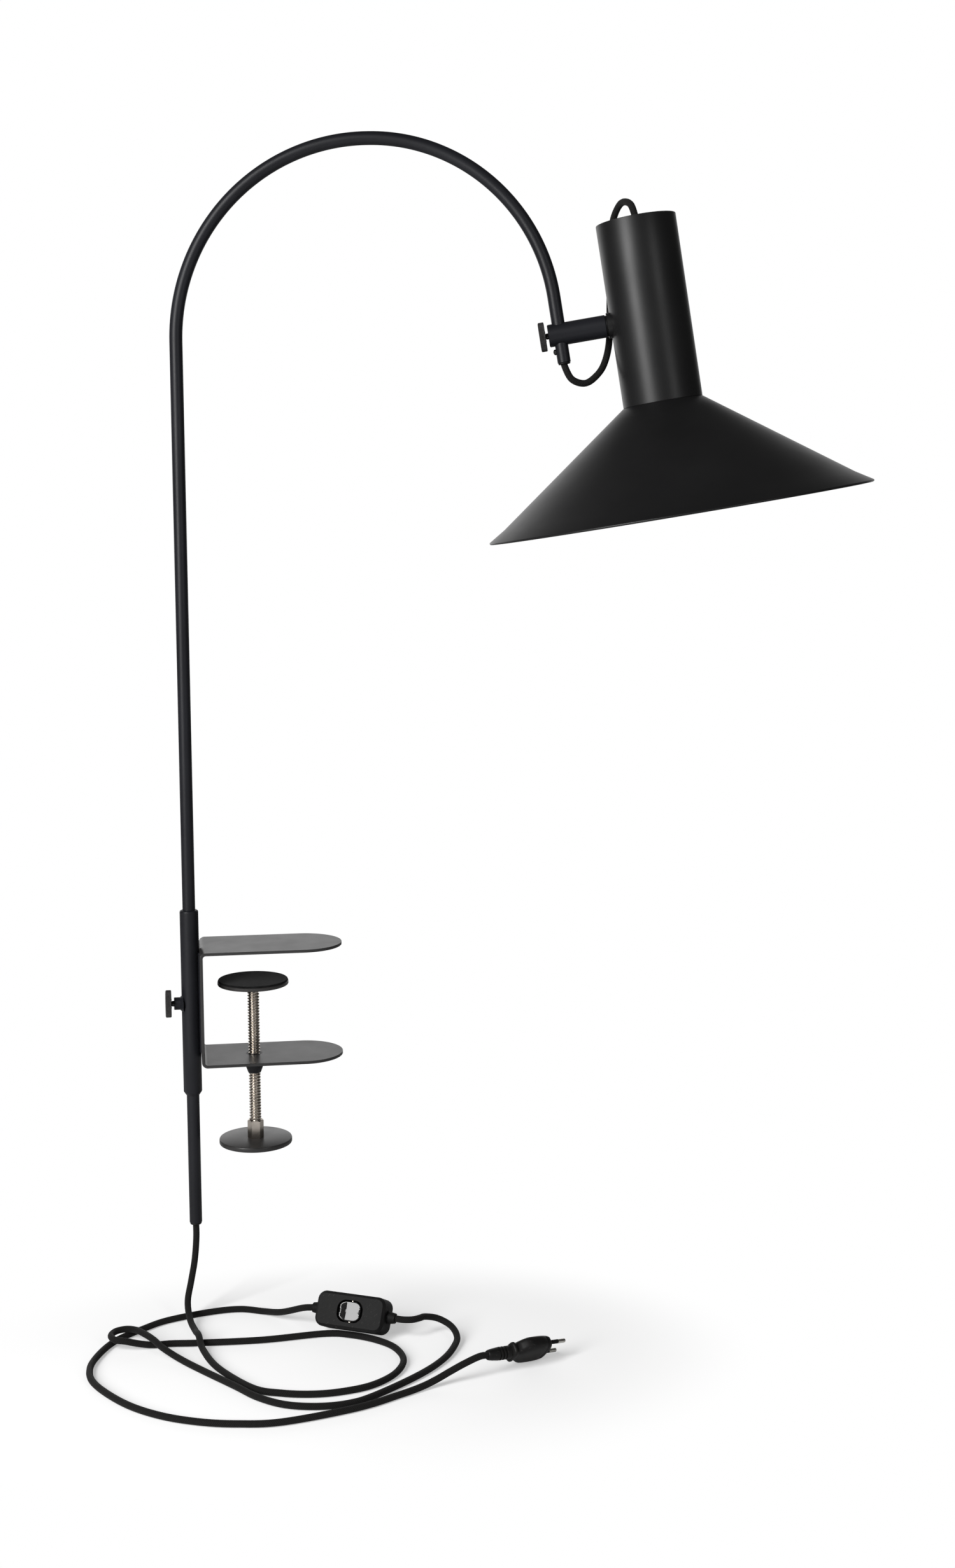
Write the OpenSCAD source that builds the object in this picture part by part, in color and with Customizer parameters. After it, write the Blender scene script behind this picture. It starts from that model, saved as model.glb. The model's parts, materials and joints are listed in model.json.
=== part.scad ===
// Arched clamp-on lamp: a bent tube turns and slides in a sleeve that is welded to a
// screw clamp, and carries a cylinder-and-cone shade on a short arm. Lengths in mm.
// The origin is on the underside of the clamp's top plate, above the spindle axis.
// z is up, and x points from the mast towards the free end of the clamp.

/* [Mast] */
// Outside diameter of the bent tube
mast_d = 12.7; // [11:0.1:15]
// Wall of the bent tube
mast_wall = 1.5; // [1.2:0.1:1.7]
// Depth of the tube's lower end below the origin
mast_drop = 287; // [220:1:300]
// Height at which the arch begins
mast_rise = 599.5; // [500:0.5:700]
// Bend radius of the rear half of the arch
rear_bend_r = 187.8; // [150:0.1:240]
// Bend radius of the front half of the arch
front_bend_r = 178.2; // [150:0.1:230]
// Straight length between the two bends
crown_len = 2; // [1:0.5:60]
// Angle between the arch's end and the vertical
head_tilt = 9.3; // [0:0.1:30]
// Straight tube between the arch and the arm's axis
tail_len = 35; // [15:0.1:80]
// Tube beyond the arm's axis
tail_past = 27; // [24:0.5:50]
// Turn of the arch about the mast
arch_swing = -12; // [-60:1:60]

/* [Sleeve] */
// Outside diameter of the sleeve
sleeve_d = 18.6; // [17:0.1:22]
// Top of the sleeve above the origin
sleeve_top = 39.5; // [20:0.5:60]
// Length of the sleeve
sleeve_len = 191; // [160:1:220]
// Running clearance between the tube and its holes, on the radius
mast_gap = 0.1; // [0.05:0.01:0.15]
// Diameter of the thumb screw's boss
boss_d = 12.7; // [10:0.1:16]
// End of the boss from the mast's axis
boss_reach = 16.9; // [14:0.1:24]
// Depth of the thumb screw below the origin
screw_drop = 56.5; // [40:0.5:80]

/* [Clamp] */
// Thickness of the bent plate
plate_t = 3; // [2:0.1:5]
// Width of the bent plate
plate_w = 81; // [76:1:90]
// Free height between the two plates
jaw = 111.3; // [100:0.1:130]
// Free end of the plates from the mast's axis
plate_reach = 153.3; // [140:0.1:180]
// Inside radius of the plate's bends
plate_bend_r = 3; // [1.5:0.1:8]
// Spindle axis from the mast's axis
spindle_reach = 62.8; // [56:0.1:75]
// Thread diameter of the spindle
spindle_d = 12; // [10:0.5:14]
// Depth of the pad's top below the origin
pad_drop = 33.8; // [5:0.1:60]
// Diameter of the pad
pad_d = 71.8; // [50:0.1:74]
// Thickness of the pad's steel disc
pad_disc_t = 3.7; // [2:0.1:6]
// Thickness of the pad's felt
felt_t = 1.8; // [1:0.1:4]
// Depth of the hand wheel's top below the origin
wheel_drop = 200.1; // [185:0.1:240]
// Diameter of the hand wheel
wheel_d = 74.2; // [50:0.1:90]
// Thickness of the hand wheel
wheel_t = 5; // [3:0.1:10]
// Width across the flats of the coupling nut
hex_af = 14.2; // [13.6:0.1:20]
// Height of the coupling nut
hex_len = 19; // [10:0.5:30]

/* [Knobs] */
// Diameter of the knurled knobs
knob_d = 27.6; // [20:0.1:36]
// Thickness of the knurled knobs
knob_t = 6.2; // [4:0.1:12]
// Thread diameter of the thumb screws
stud_d = 5.8; // [4:0.1:8]
// Bare thread between a knob and what it screws into
stud_show = 2.4; // [1:0.1:8]

/* [Head] */
// Diameter of the arm
arm_d = 21.3; // [20:0.1:26]
// Arm beyond the tube's axis, on the knob's side
arm_tail = 11.1; // [10:0.1:16]
// Shade axis from the tube's end
shade_reach = 87.4; // [80:0.1:110]
// Outside diameter of the shade's cylinder
neck_d = 76.4; // [70:0.1:90]
// Cylinder above the arm's axis
neck_up = 92.6; // [80:0.1:110]
// Cylinder below the arm's axis
neck_down = 79.7; // [74:0.1:90]
// Height of the shade's cone
cone_h = 107; // [80:0.5:140]
// Diameter of the cone's rim
rim_d = 372.6; // [300:0.5:420]
// Sheet thickness of the shade
sheet_t = 1.2; // [0.8:0.1:2]
// Lean of the shade about the arm
shade_lean = 0.9; // [-10:0.1:10]
// Diameter of the lamp holder
holder_d = 40; // [38:0.5:46]
// Diameter of the bulb
bulb_d = 60; // [45:1:64]

/* [Lead] */
// Diameter of the textile lead
cord_d = 6.6; // [5.6:0.1:6.8]
// Depth of the floor below the origin
floor_drop = 390; // [390:1:395]

/* [Switch] */
// Length of the in-line switch
switch_len = 73.5; // [70:0.5:76]
// Width of the in-line switch
switch_w = 35; // [32:0.5:36]
// Depth of the in-line switch
switch_t = 28; // [26:0.5:29]
// Length of the rocker
rocker_len = 25; // [20:0.5:30]
// Width of the rocker
rocker_w = 19.4; // [16:0.1:22]

/* [Plug] */
// Width of the plug
plug_w = 35.3; // [32:0.1:37]
// Thickness of the plug
plug_t = 15; // [13.7:0.1:17]
// Distance between the pins
pin_pitch = 19; // [18:0.1:19.5]
// Diameter of the pins
pin_d = 4; // [3.8:0.1:4.2]

/* [Hidden] */
$fn = 72;
eps = 0.01;
fit = 0.1;
tail_overlap = 0.2;
tail_swell = 0.1;
chamfer = 0.8;

mast_x = -spindle_reach;
mast_bore = mast_d - 2 * mast_wall;
arch_top = mast_rise + rear_bend_r;
tail_x = rear_bend_r + crown_len + front_bend_r * cos(head_tilt);
tail_z = arch_top - front_bend_r + front_bend_r * sin(head_tilt);
head_x = tail_x + tail_len * sin(head_tilt);
head_z = tail_z - tail_len * cos(head_tilt);
hole_d = mast_d + 2 * mast_gap;
arm_hole_d = hole_d + tail_swell;

web_x = mast_x + sleeve_d / 2;
tip_x = mast_x + plate_reach;
screw_z = -screw_drop;
weld_start = 1.6;
weld_half = 6;
weld_leg = 2.6;
sleeve_lip = 2;

bush_d = spindle_d + 4;
bush_rim = 0.5;
bush_tip_wall = 0.4;
bush_len = 17;
bush_taper = 5.5;
hub_d = spindle_d + 2.4;
hub_len = 3;
pivot_d = 7;
pad_under = -pad_drop - felt_t - pad_disc_t;
hub_under = pad_under - hub_len;
hex_top = -wheel_drop + hex_len;

arm_end = shade_reach - neck_d / 2 - 4.2;
washer_t = 1;
grip_top = 9;
grip_screw_z = -16;
saddle_d = arm_d + 2.7;
bolt_d = 8;
inner_pad_x = shade_reach - neck_d / 2 + sheet_t + 5.2;
collar_h = 12;
rim_lip = 2.4;
cap_z = neck_up - 5;
cap_t = 2;
stem_d = 10;
stem_bore = 7.6;
stem_low = -8;
holder_h = 48;

switch_at = [93.2, -67.7, 22.3 - floor_drop];
switch_yaw = -28;
switch_lean = 28;
switch_split = 2;
rocker_rest = 5;
rocker_gap = 1.2;
axle_d = 3;
cone_screw_d = 2.6;
cone_screw_tip = 2;
axle_z = switch_t / 2 - 5;
nozzle_len = 8;
plug_at = [209.6, -188.7, 22.3 - floor_drop];
plug_yaw = 24;
plug_pitch = 7;
plug_roll = 42;
relief_len = 26;
plug_body_end = 68;
pin_root_d = pin_d + 0.8;
pin_len = 19;
pin_sleeve_len = 10;

// The lead's centre line: x, y and height over the floor, chosen by hand
lead_a_route = [
    [-62.8, 0, 105], [-62.8, 0, 86], [-65, 0, 62], [-69, 0, 40], [-73, -5, 20], [-71, -25, 8.5],
    [-66, -49, 6.5], [-63, -71, 11], [-59, -95, 6], [-45, -134, 3.5], [-14, -183, 3.5],
    [12, -198, 3.5], [41, -205, 3.5], [69, -204, 3.5], [98, -195, 3.5], [122, -174, 3.5],
    [134, -145, 3.5], [129, -115, 3.5], [112, -93, 3.5], [88, -77, 3.5], [62, -70, 3.5],
    [0, -75, 3.5], [-62, -72, 3.5], [-90, -69, 3.5], [-107, -69.5, 3.5], [-121, -71.5, 6.5],
    [-135, -72, 10.3], [-145.3, -67.8, 10.7], [-149.5, -57.5, 10.7], [-145.3, -47.2, 10.7],
    [-135, -43, 10.7], [-125.5, -47, 10.8], [-118.5, -57.5, 11.9], [-108, -75, 11.9],
    [-97, -92, 8.5], [-74, -118, 3.5], [-31, -175, 3.5], [-11, -202, 3.5], [13, -222, 3.5],
    [42, -231, 3.5], [71, -230, 3.5], [97, -218, 3.5], [145, -180, 3.5], [174, -147, 3.5],
    [190, -116, 4.5], [192.5, -101, 7.5], [188, -88, 11.5], [176.5, -80.5, 16.2],
    [163.5, -83.5, 20.2], [157, -89, 21.4], [149, -93.4, 22.1], [140, -92.5, 22.3],
    [132.5, -88.5, 22.3]
];
lead_b_route = [
    [53.8, -46.9, 22.3], [43, -41, 20], [22, -22, 9], [5, -4, 3.5], [-20, 6, 3.5],
    [-52, 3, 3.5], [-94, -11, 3.5], [-118, -28, 3.5], [-144, -52, 3.5], [-160, -82, 3.5],
    [-168, -115, 3.5], [-162, -150, 3.5], [-134, -195, 3.5], [-102, -225, 3.5],
    [-67, -244, 3.5], [-32, -254, 3.5], [10, -257, 3.5], [79, -240, 3.5], [122, -219, 3.5],
    [143, -208, 4.2], [158, -202, 7.5], [172, -198.5, 13], [186, -196.5, 19],
    [201.6, -192.3, 23.3], [211.4, -187.9, 22.1]
];
// The short lead from the tube's end to the shade, in the head's own directions
head_lead_route = [
    [0, 0, -24], [0, 0, -31], [4.9, 2.1, -43.7], [16.6, 7, -49], [28.3, 12, -43.7],
    [38, 17, -33], [46, 23, -13], [52, 31, 20], [58, 37, 58], [63, 38, 83], [68.5, 30.5, 102],
    [77, 16, 112.6], [84.7, 3, 109], [87.4, -1.5, 97], [87.4, -1.35, 86]
];

// ---- places ----

module at_mast() { translate([mast_x, 0, 0]) children(); }
module swung() { at_mast() rotate([0, 0, arch_swing]) children(); }
module head() { swung() translate([head_x, 0, head_z]) rotate([0, -head_tilt, 0]) children(); }
module shade() { head() rotate([shade_lean, 0, 0]) translate([shade_reach, 0, 0]) children(); }
module along_x(x) { translate([x, 0, 0]) rotate([0, 90, 0]) children(); }
module at_switch() {
    translate(switch_at) rotate([0, 0, switch_yaw]) rotate([90 - switch_lean, 0, 0]) children();
}
module at_plug() {
    translate(plug_at) rotate([0, plug_pitch, plug_yaw]) rotate([90 + plug_roll, 0, 0]) children();
}

// ---- forms ----

// a tube, or a rod where the bore is 0, from one height to another
module pipe(z0, z1, d, bore) {
    translate([0, 0, z0]) difference() {
        cylinder(h = z1 - z0, d = d);
        if (bore > 0) translate([0, 0, -1]) cylinder(h = z1 - z0 + 2, d = bore);
    }
}

// a disc with both edges chamfered
module edged_disc(z0, z1, d, c) {
    rotate_extrude() polygon([[0, z0], [d / 2 - c, z0], [d / 2, z0 + c], [d / 2, z1 - c],
                              [d / 2 - c, z1], [0, z1]]);
}

// a bend in the plane of the arch: centre, radius, first angle and sweep
module bend(x, z, r, a0, sweep) {
    translate([x, 0, z]) rotate([90, 0, 0]) rotate([0, 0, a0])
        rotate_extrude(angle = sweep, $fn = 180) translate([r, 0]) children();
}

// the end of a bend, with z running on along the straight that follows
module after_bend(x, z, r, a) {
    translate([x, 0, z]) rotate([90, 0, 0]) rotate([0, 0, a]) translate([r, 0]) rotate([90, 0, 0])
        children();
}

// a round bar along the mast's centre line, from a height to a length past the arm's axis.
// The tail starts just inside the bend and is a hair wider, so that the two fuse cleanly.
module mast_bar(d, z0, past) {
    front_x = rear_bend_r + crown_len;
    front_z = arch_top - front_bend_r;
    swung() {
        pipe(z0, mast_rise, d, 0);
        bend(rear_bend_r, mast_rise, rear_bend_r, 90, 90) circle(d = d);
        translate([0, 0, arch_top]) along_x(rear_bend_r) cylinder(h = crown_len, d = d);
        bend(front_x, front_z, front_bend_r, 90, head_tilt - 90) circle(d = d);
        after_bend(front_x, front_z, front_bend_r, head_tilt) translate([0, 0, -tail_overlap])
            cylinder(h = tail_len + past + tail_overlap, d = d + tail_swell);
    }
}

module thumb_knob(x0, x1) { along_x(x0) edged_disc(0, x1 - x0, knob_d, chamfer); }

// a stud with a rounded tip towards the mast
module stud(x_tip, x_end, d) {
    along_x(x_end) edged_disc(0, x_tip - x_end, d, 0.6);
}

function unit(v) = v / norm(v);
function heading(p, i) = unit(p[min(i + 1, len(p) - 1)] - p[max(i - 1, 0)]);
function across(p, i) = i == 0
    ? unit(cross(heading(p, 0), [0.3, 1, 0.2]))
    : let (s = across(p, i - 1), t = heading(p, i)) unit(s - t * (s * t));

// one closed tube along a route
module lead_tube(route, d) {
    sides = 8;
    n = len(route);
    points = [for (i = [0:n - 1]) let (s = across(route, i), u = cross(heading(route, i), s))
              for (k = [0:sides - 1]) let (a = 360 * k / sides)
              route[i] + d / 2 * (cos(a) * s + sin(a) * u)];
    walls = [for (i = [0:n - 2]) for (k = [0:sides - 1]) let (m = (k + 1) % sides)
             [i * sides + k, (i + 1) * sides + k, (i + 1) * sides + m, i * sides + m]];
    first = [for (k = [0:sides - 1]) k];
    last = [for (k = [sides - 1:-1:0]) (n - 1) * sides + k];
    polyhedron(points = points, faces = concat(walls, [first, last]));
}

function on_floor(route) = [for (p = route) [p[0], p[1], p[2] - floor_drop]];

// ---- clamp ----

// side view of the bent plate, grown inwards by t
module jaw_outline(t) {
    r = plate_bend_r + plate_t - t;
    low = -jaw - plate_t + t;
    high = plate_t - t;
    left = web_x + t;
    far = tip_x + 1;
    translate([left, low + r]) square([far - left, high - low - 2 * r]);
    translate([left + r, low]) square([far - left - r, high - low]);
    translate([left + r, low + r]) circle(r = r);
    translate([left + r, high - r]) circle(r = r);
}

module clamp_bracket() color([0.14, 0.14, 0.16]) difference() {
    intersection() {
        rotate([90, 0, 0]) translate([0, 0, -plate_w / 2]) linear_extrude(plate_w)
            difference() {
                jaw_outline(0);
                jaw_outline(plate_t);
            }
        translate([0, 0, -jaw - 2 * plate_t]) linear_extrude(jaw + 4 * plate_t) {
            translate([web_x - 1, -plate_w / 2])
                square([tip_x - plate_w / 2 - web_x + 1, plate_w]);
            translate([tip_x - plate_w / 2, 0]) circle(d = plate_w, $fn = 180);
        }
    }
    translate([0, 0, -jaw - plate_t - 1]) cylinder(h = plate_t + 2, d = bush_d);
}

module mast_sleeve() color([0.16, 0.16, 0.18]) at_mast() difference() {
    bottom = sleeve_top - sleeve_len;
    rotate_extrude() {
        polygon([[hole_d / 2, bottom], [hole_d / 2 + 0.9, bottom], [sleeve_d / 2, bottom + 3.2],
                 [sleeve_d / 2, sleeve_top - sleeve_lip],
                 [sleeve_d / 2 - sleeve_lip, sleeve_top], [hole_d / 2, sleeve_top]]);
        intersection() {
            translate([sleeve_d / 2 - sleeve_lip, sleeve_top - sleeve_lip]) circle(r = sleeve_lip);
            translate([hole_d / 2, sleeve_top - 2 * sleeve_lip])
                square([sleeve_d, 2 * sleeve_lip]);
        }
    }
    translate([0, 0, screw_z]) along_x(-sleeve_d) cylinder(h = sleeve_d, d = stud_d + fit);
}

module sleeve_weld() color([0.13, 0.13, 0.15]) {
    high = -plate_bend_r - 1;
    low = -jaw + plate_bend_r + 1;
    for (side = [0, 1]) mirror([0, side, 0]) difference() {
        translate([web_x - weld_leg, weld_start, low])
            cube([weld_leg, weld_half - weld_start, high - low]);
        translate([mast_x, 0, low - 1]) cylinder(h = high - low + 2, d = sleeve_d);
        translate([web_x - weld_leg - 0.5, weld_half + 0.8, low - 1])
            cylinder(h = high - low + 2, r = weld_leg);
    }
}

module screw_boss() color([0.14, 0.14, 0.16]) at_mast() translate([0, 0, screw_z]) difference() {
    union() {
        along_x(-boss_reach) edged_disc(0, boss_reach, boss_d, 0.5);
        along_x(-sleeve_d / 2 - 1.6) cylinder(h = 3.4, d1 = boss_d, d2 = boss_d + 6.8);
    }
    translate([0, 0, -boss_d]) cylinder(h = 2 * boss_d, d = sleeve_d);
    along_x(-boss_reach - 1) cylinder(h = boss_reach + 1, d = stud_d + fit);
}

module spindle_bush() color([0.15, 0.15, 0.16]) {
    under = -jaw - plate_t;
    bore = spindle_d + 2 * fit;
    rotate_extrude() polygon([
        [bore / 2, -jaw], [bush_d / 2, -jaw], [bush_d / 2, under], [bush_d / 2 + bush_rim, under],
        [bush_d / 2 + bush_rim, under - bush_len + bush_taper],
        [bore / 2 + bush_tip_wall, under - bush_len], [bore / 2, under - bush_len]]);
}

module sleeve_knob() color([0.12, 0.12, 0.14]) at_mast() translate([0, 0, screw_z])
    thumb_knob(-boss_reach - stud_show - knob_t, -boss_reach - stud_show);

module sleeve_stud() color([0.2, 0.2, 0.22]) at_mast() translate([0, 0, screw_z])
    stud(-mast_d / 2 - 0.05, -boss_reach - stud_show, stud_d);

// ---- pad and spindle ----

module pad_felt() color([0.1, 0.1, 0.1])
    translate([0, 0, -pad_drop - felt_t]) cylinder(h = felt_t, d = pad_d - 1);

module pad_disc() color([0.3, 0.3, 0.31]) difference() {
    edged_disc(pad_under, -pad_drop - felt_t, pad_d, 0.4);
    translate([0, 0, pad_under - 1]) cylinder(h = 3, d = pivot_d + 2 * fit);
}

module pad_hub() color([0.25, 0.25, 0.26])
    pipe(hub_under, pad_under, hub_d, pivot_d + 2 * fit);

module spindle_rod() color([0.6, 0.58, 0.55]) {
    translate([0, 0, hex_top - 2]) edged_disc(0, hub_under - 0.1 - hex_top + 2, spindle_d, chamfer);
    translate([0, 0, hub_under - 1]) cylinder(h = pad_under + 1.6 - hub_under + 1, d = pivot_d);
}

module coupling_nut() color([0.65, 0.63, 0.6]) difference() {
    intersection() {
        translate([0, 0, -wheel_drop]) cylinder(h = hex_len, d = hex_af / cos(30), $fn = 6);
        edged_disc(-wheel_drop - 1, hex_top, hex_af / cos(30) + 0.2, 1.4);
    }
    translate([0, 0, hex_top - 2]) cylinder(h = 3, d = spindle_d);
    translate([0, 0, -wheel_drop - 1]) cylinder(h = 11, d = 6);
}

module hand_wheel() color([0.2, 0.2, 0.21]) difference() {
    edged_disc(-wheel_drop - wheel_t, -wheel_drop, wheel_d, 0.6);
    translate([0, 0, -wheel_drop - wheel_t - 1]) cylinder(h = wheel_t + 2, d = 6);
    translate([0, 0, -wheel_drop - wheel_t - eps]) cylinder(h = 3, d1 = 12, d2 = 6);
}

module wheel_screw() color([0.6, 0.6, 0.6]) {
    translate([0, 0, -wheel_drop - wheel_t]) difference() {
        cylinder(h = 3 - eps, d1 = 12, d2 = 6);
        translate([0, 0, -1]) cylinder(h = 2.6, d = 4, $fn = 6);
    }
    pipe(-wheel_drop - wheel_t + 2, -wheel_drop + 9, 6, 0);
}

// ---- mast ----

module mast_tube() color([0.15, 0.15, 0.17]) difference() {
    mast_bar(mast_d, -mast_drop, tail_past);
    mast_bar(mast_bore, -mast_drop - 1, tail_past + 1);
    head() translate([0, 0, grip_screw_z]) along_x(-mast_d) cylinder(h = mast_d, d = 3);
}

module mast_lead() color([0.08, 0.08, 0.08]) at_mast()
    pipe(105 - floor_drop, mast_rise - 10, cord_d, 0);

module arch_lead() color([0.08, 0.08, 0.08]) mast_bar(cord_d, mast_rise - 10, 24);

module mast_bush() color([0.1, 0.1, 0.1]) at_mast() {
    pipe(-mast_drop, -mast_drop + 12, mast_bore, cord_d + fit);
    difference() {
        edged_disc(-mast_drop - 1.8, -mast_drop, mast_d - 1, 0.5);
        translate([0, 0, -mast_drop - 3]) cylinder(h = 4, d = cord_d + fit);
    }
}

module cord_grip() color([0.1, 0.1, 0.1]) head() difference() {
    union() {
        pipe(-tail_past, -grip_top, mast_bore + tail_swell, cord_d + fit);
        difference() {
            edged_disc(-tail_past - 1.5, -tail_past, mast_d - 1, 0.5);
            translate([0, 0, -tail_past - 3]) cylinder(h = 5, d = cord_d + 1);
        }
    }
    translate([0, 0, grip_screw_z]) along_x(-mast_d) cylinder(h = mast_d, d = 3);
}

module grip_screw() color([0.3, 0.3, 0.3]) head() translate([0, 0, grip_screw_z]) {
    along_x(-mast_d / 2 - 0.5) cylinder(h = mast_d / 2 + 0.5 - cord_d / 2 - 0.2, d = 3);
    intersection() {
        translate([-mast_d / 2 + 0.8, 0, 0]) sphere(r = 3.3);
        along_x(-mast_d / 2 - 4) cylinder(h = 4 + 0.3, d = 5.4);
        difference() {
            translate([-20, -10, -10]) cube([20, 20, 20]);
            translate([0, 0, -10]) cylinder(h = 20, d = mast_d + tail_swell);
        }
    }
}

// ---- arm ----

module arm_bar() color([0.13, 0.13, 0.15]) head() difference() {
    along_x(-arm_tail) edged_disc(0, arm_end + arm_tail, arm_d, chamfer);
    translate([0, 0, -arm_d]) cylinder(h = 2 * arm_d, d = arm_hole_d);
    along_x(-arm_tail - 1) cylinder(h = arm_tail + 1, d = stud_d + fit);
    along_x(arm_end - 16) cylinder(h = 17, d = bolt_d);
}

module arm_washer() color([0.08, 0.08, 0.08]) head()
    along_x(arm_end) pipe(0, washer_t, arm_d - 1.6, bolt_d);

module pivot_bolt() color([0.5, 0.5, 0.5]) head() {
    along_x(arm_end - 16) cylinder(h = inner_pad_x + fit + 16 - arm_end, d = bolt_d);
    along_x(inner_pad_x + fit) cylinder(h = 5, d = 15, $fn = 6);
}

module head_knob() color([0.12, 0.12, 0.14]) head()
    thumb_knob(-arm_tail - stud_show - knob_t, -arm_tail - stud_show);

module head_stud() color([0.2, 0.2, 0.22]) head()
    stud(-mast_d / 2 - 0.05, -arm_tail - stud_show, stud_d);

// ---- shade ----

// a round block between a flat face and the cylinder's wall, bored for the pivot
module wall_block(x0, x1, d, wall_d, inside) {
    difference() {
        intersection() {
            along_x(x0 - shade_reach) cylinder(h = x1 - x0, d = d);
            if (inside) cylinder(h = 2 * d, d = wall_d, center = true);
            else translate([x0 - shade_reach, -d, -d]) cube([x1 - x0, 2 * d, 2 * d]);
        }
        if (!inside) cylinder(h = 2 * d, d = wall_d, center = true);
        along_x(x0 - shade_reach - 1) cylinder(h = x1 - x0 + 2, d = bolt_d + 2 * fit);
    }
}

module saddle() color([0.1, 0.1, 0.11]) shade()
    wall_block(arm_end + washer_t + fit, shade_reach - neck_d / 2 + 2.4, saddle_d, neck_d, false);

module inner_saddle() color([0.3, 0.3, 0.3]) shade()
    wall_block(shade_reach - neck_d / 2, inner_pad_x, 22, neck_d - 2 * sheet_t, true);

module shade_neck() color([0.12, 0.12, 0.13]) shade() difference() {
    rotate_extrude($fn = 120) polygon([
        [neck_d / 2 - sheet_t, -neck_down], [neck_d / 2, -neck_down],
        [neck_d / 2, neck_up - 0.5], [neck_d / 2 - 0.4, neck_up],
        [neck_d / 2 - sheet_t, neck_up]]);
    along_x(-neck_d) cylinder(h = neck_d, d = bolt_d + 2 * fit);
    cone_screw_places() along_x(neck_d / 2 - 2 * sheet_t)
        cylinder(h = cone_screw_tip, d = cone_screw_d);
}

module cone_screw_places() {
    for (a = [90, 210, 330]) rotate([0, 0, a]) translate([0, 0, -neck_down + collar_h / 2])
        children();
}

module shade_cone() color([0.12, 0.12, 0.13]) shade() difference() {
    rim_z = -neck_down - cone_h;
    slope = (rim_d - neck_d) / 2 / cone_h;
    skin = sheet_t * sqrt(1 + slope * slope);
    collar = neck_d / 2 - sheet_t - 0.05;
    edge = rim_d / 2 - rim_lip * slope / 2;
    union() {
        rotate_extrude($fn = 180) polygon([
            [neck_d / 2, -neck_down], [edge, rim_z + rim_lip / 2],
            [edge - skin, rim_z + rim_lip / 2],
            [collar - sheet_t, -neck_down - (sheet_t + 0.05 + sheet_t) / slope],
            [collar - sheet_t, -neck_down + collar_h], [collar, -neck_down + collar_h],
            [collar, -neck_down]]);
        rotate_extrude($fn = 180)
            translate([rim_d / 2 - rim_lip / 2, rim_z + rim_lip / 2]) circle(d = rim_lip, $fn = 24);
    }
    cone_screw_places() along_x(neck_d / 2 - 3 * sheet_t)
        cylinder(h = 3 * sheet_t, d = cone_screw_d);
}

module cone_screws() color([0.3, 0.3, 0.3]) shade() cone_screw_places() {
    along_x(neck_d / 2 - 2 * sheet_t - 2.2) cylinder(h = cone_screw_tip + 2.2, d = cone_screw_d);
    along_x(neck_d / 2 - 2 * sheet_t - 2) cylinder(h = 1.9, d = 5, $fn = 6);
}

module top_cap() color([0.12, 0.12, 0.13]) shade() difference() {
    inside = neck_d / 2 - sheet_t - 0.02;
    rotate_extrude($fn = 120) polygon([
        [stem_d / 2, cap_z], [inside, cap_z], [inside, cap_z - 8], [inside - cap_t, cap_z - 8],
        [inside - cap_t, cap_z - cap_t], [stem_d / 2, cap_z - cap_t]]);
    for (a = [45:90:359]) rotate([0, 0, a])
        translate([inside - 8, 0, cap_z - cap_t - 1]) cylinder(h = cap_t + 2, d = 5, $fn = 24);
}

module lead_gland() color([0.1, 0.1, 0.1]) shade() {
    pipe(cap_z, cap_z + 4, 16, stem_d);
    rotate_extrude() polygon([[cord_d / 2 + 0.2, cap_z + 4], [8, cap_z + 4],
        [8, cap_z + 5], [5.8, cap_z + 8.6], [cord_d / 2 + 1, cap_z + 8.6],
        [cord_d / 2 + 0.2, cap_z + 7.4]]);
}

module holder_stem() color([0.6, 0.6, 0.6]) shade() {
    pipe(stem_low, cap_z + 4, stem_d, stem_bore);
    translate([0, 0, cap_z - cap_t - 4]) difference() {
        cylinder(h = 4, d = 16, $fn = 6);
        translate([0, 0, -1]) cylinder(h = 6, d = stem_d);
    }
}

module holder_cup() color([0.1, 0.1, 0.1]) shade() {
    wall = 2.5;
    top = stem_low + 6;
    low = top - holder_h;
    bore = 28.5;
    rotate_extrude() polygon([
        [stem_d / 2, top], [stem_d / 2 + 5, top], [holder_d / 2 - 4, top - 8],
        [holder_d / 2 - 2, top - 14], [holder_d / 2 - 2, low], [bore / 2, low],
        [bore / 2, low + holder_h - 20], [holder_d / 2 - 4 - wall, low + holder_h - 18],
        [stem_d / 2 + 4, top - 6], [stem_d / 2, top - 6]]);
}

module holder_ring() color([0.1, 0.1, 0.1]) shade() {
    low = stem_low + 6 - holder_h;
    rotate_extrude() polygon([
        [holder_d / 2 - 2, low + 2], [holder_d / 2 + 1, low + 2], [holder_d / 2 + 3, low + 4],
        [holder_d / 2 + 3, low + 7], [holder_d / 2, low + 9], [holder_d / 2, low + 18],
        [holder_d / 2 - 2, low + 18]]);
}

module bulb_cap() color([0.7, 0.68, 0.6]) shade() {
    low = stem_low + 6 - holder_h;
    rotate_extrude() polygon([
        [0, low + 25], [5, low + 25], [12, low + 21], [13.6, low + 20], [13.6, low - 2],
        [14.2, low - 6], [0, low - 6]]);
}

module bulb_glass() color([0.9, 0.9, 0.85]) shade() {
    low = stem_low + 6 - holder_h - 6;
    drop = 40;
    wide = 2 * sqrt(pow(bulb_d / 2, 2) - 400);
    translate([0, 0, low - drop - 20]) sphere(d = bulb_d);
    translate([0, 0, low - drop]) cylinder(h = drop - 6, d1 = wide, d2 = 30);
    translate([0, 0, low - 6]) cylinder(h = 6, d1 = 30, d2 = 28);
}

// ---- lead, switch and plug ----

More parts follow.
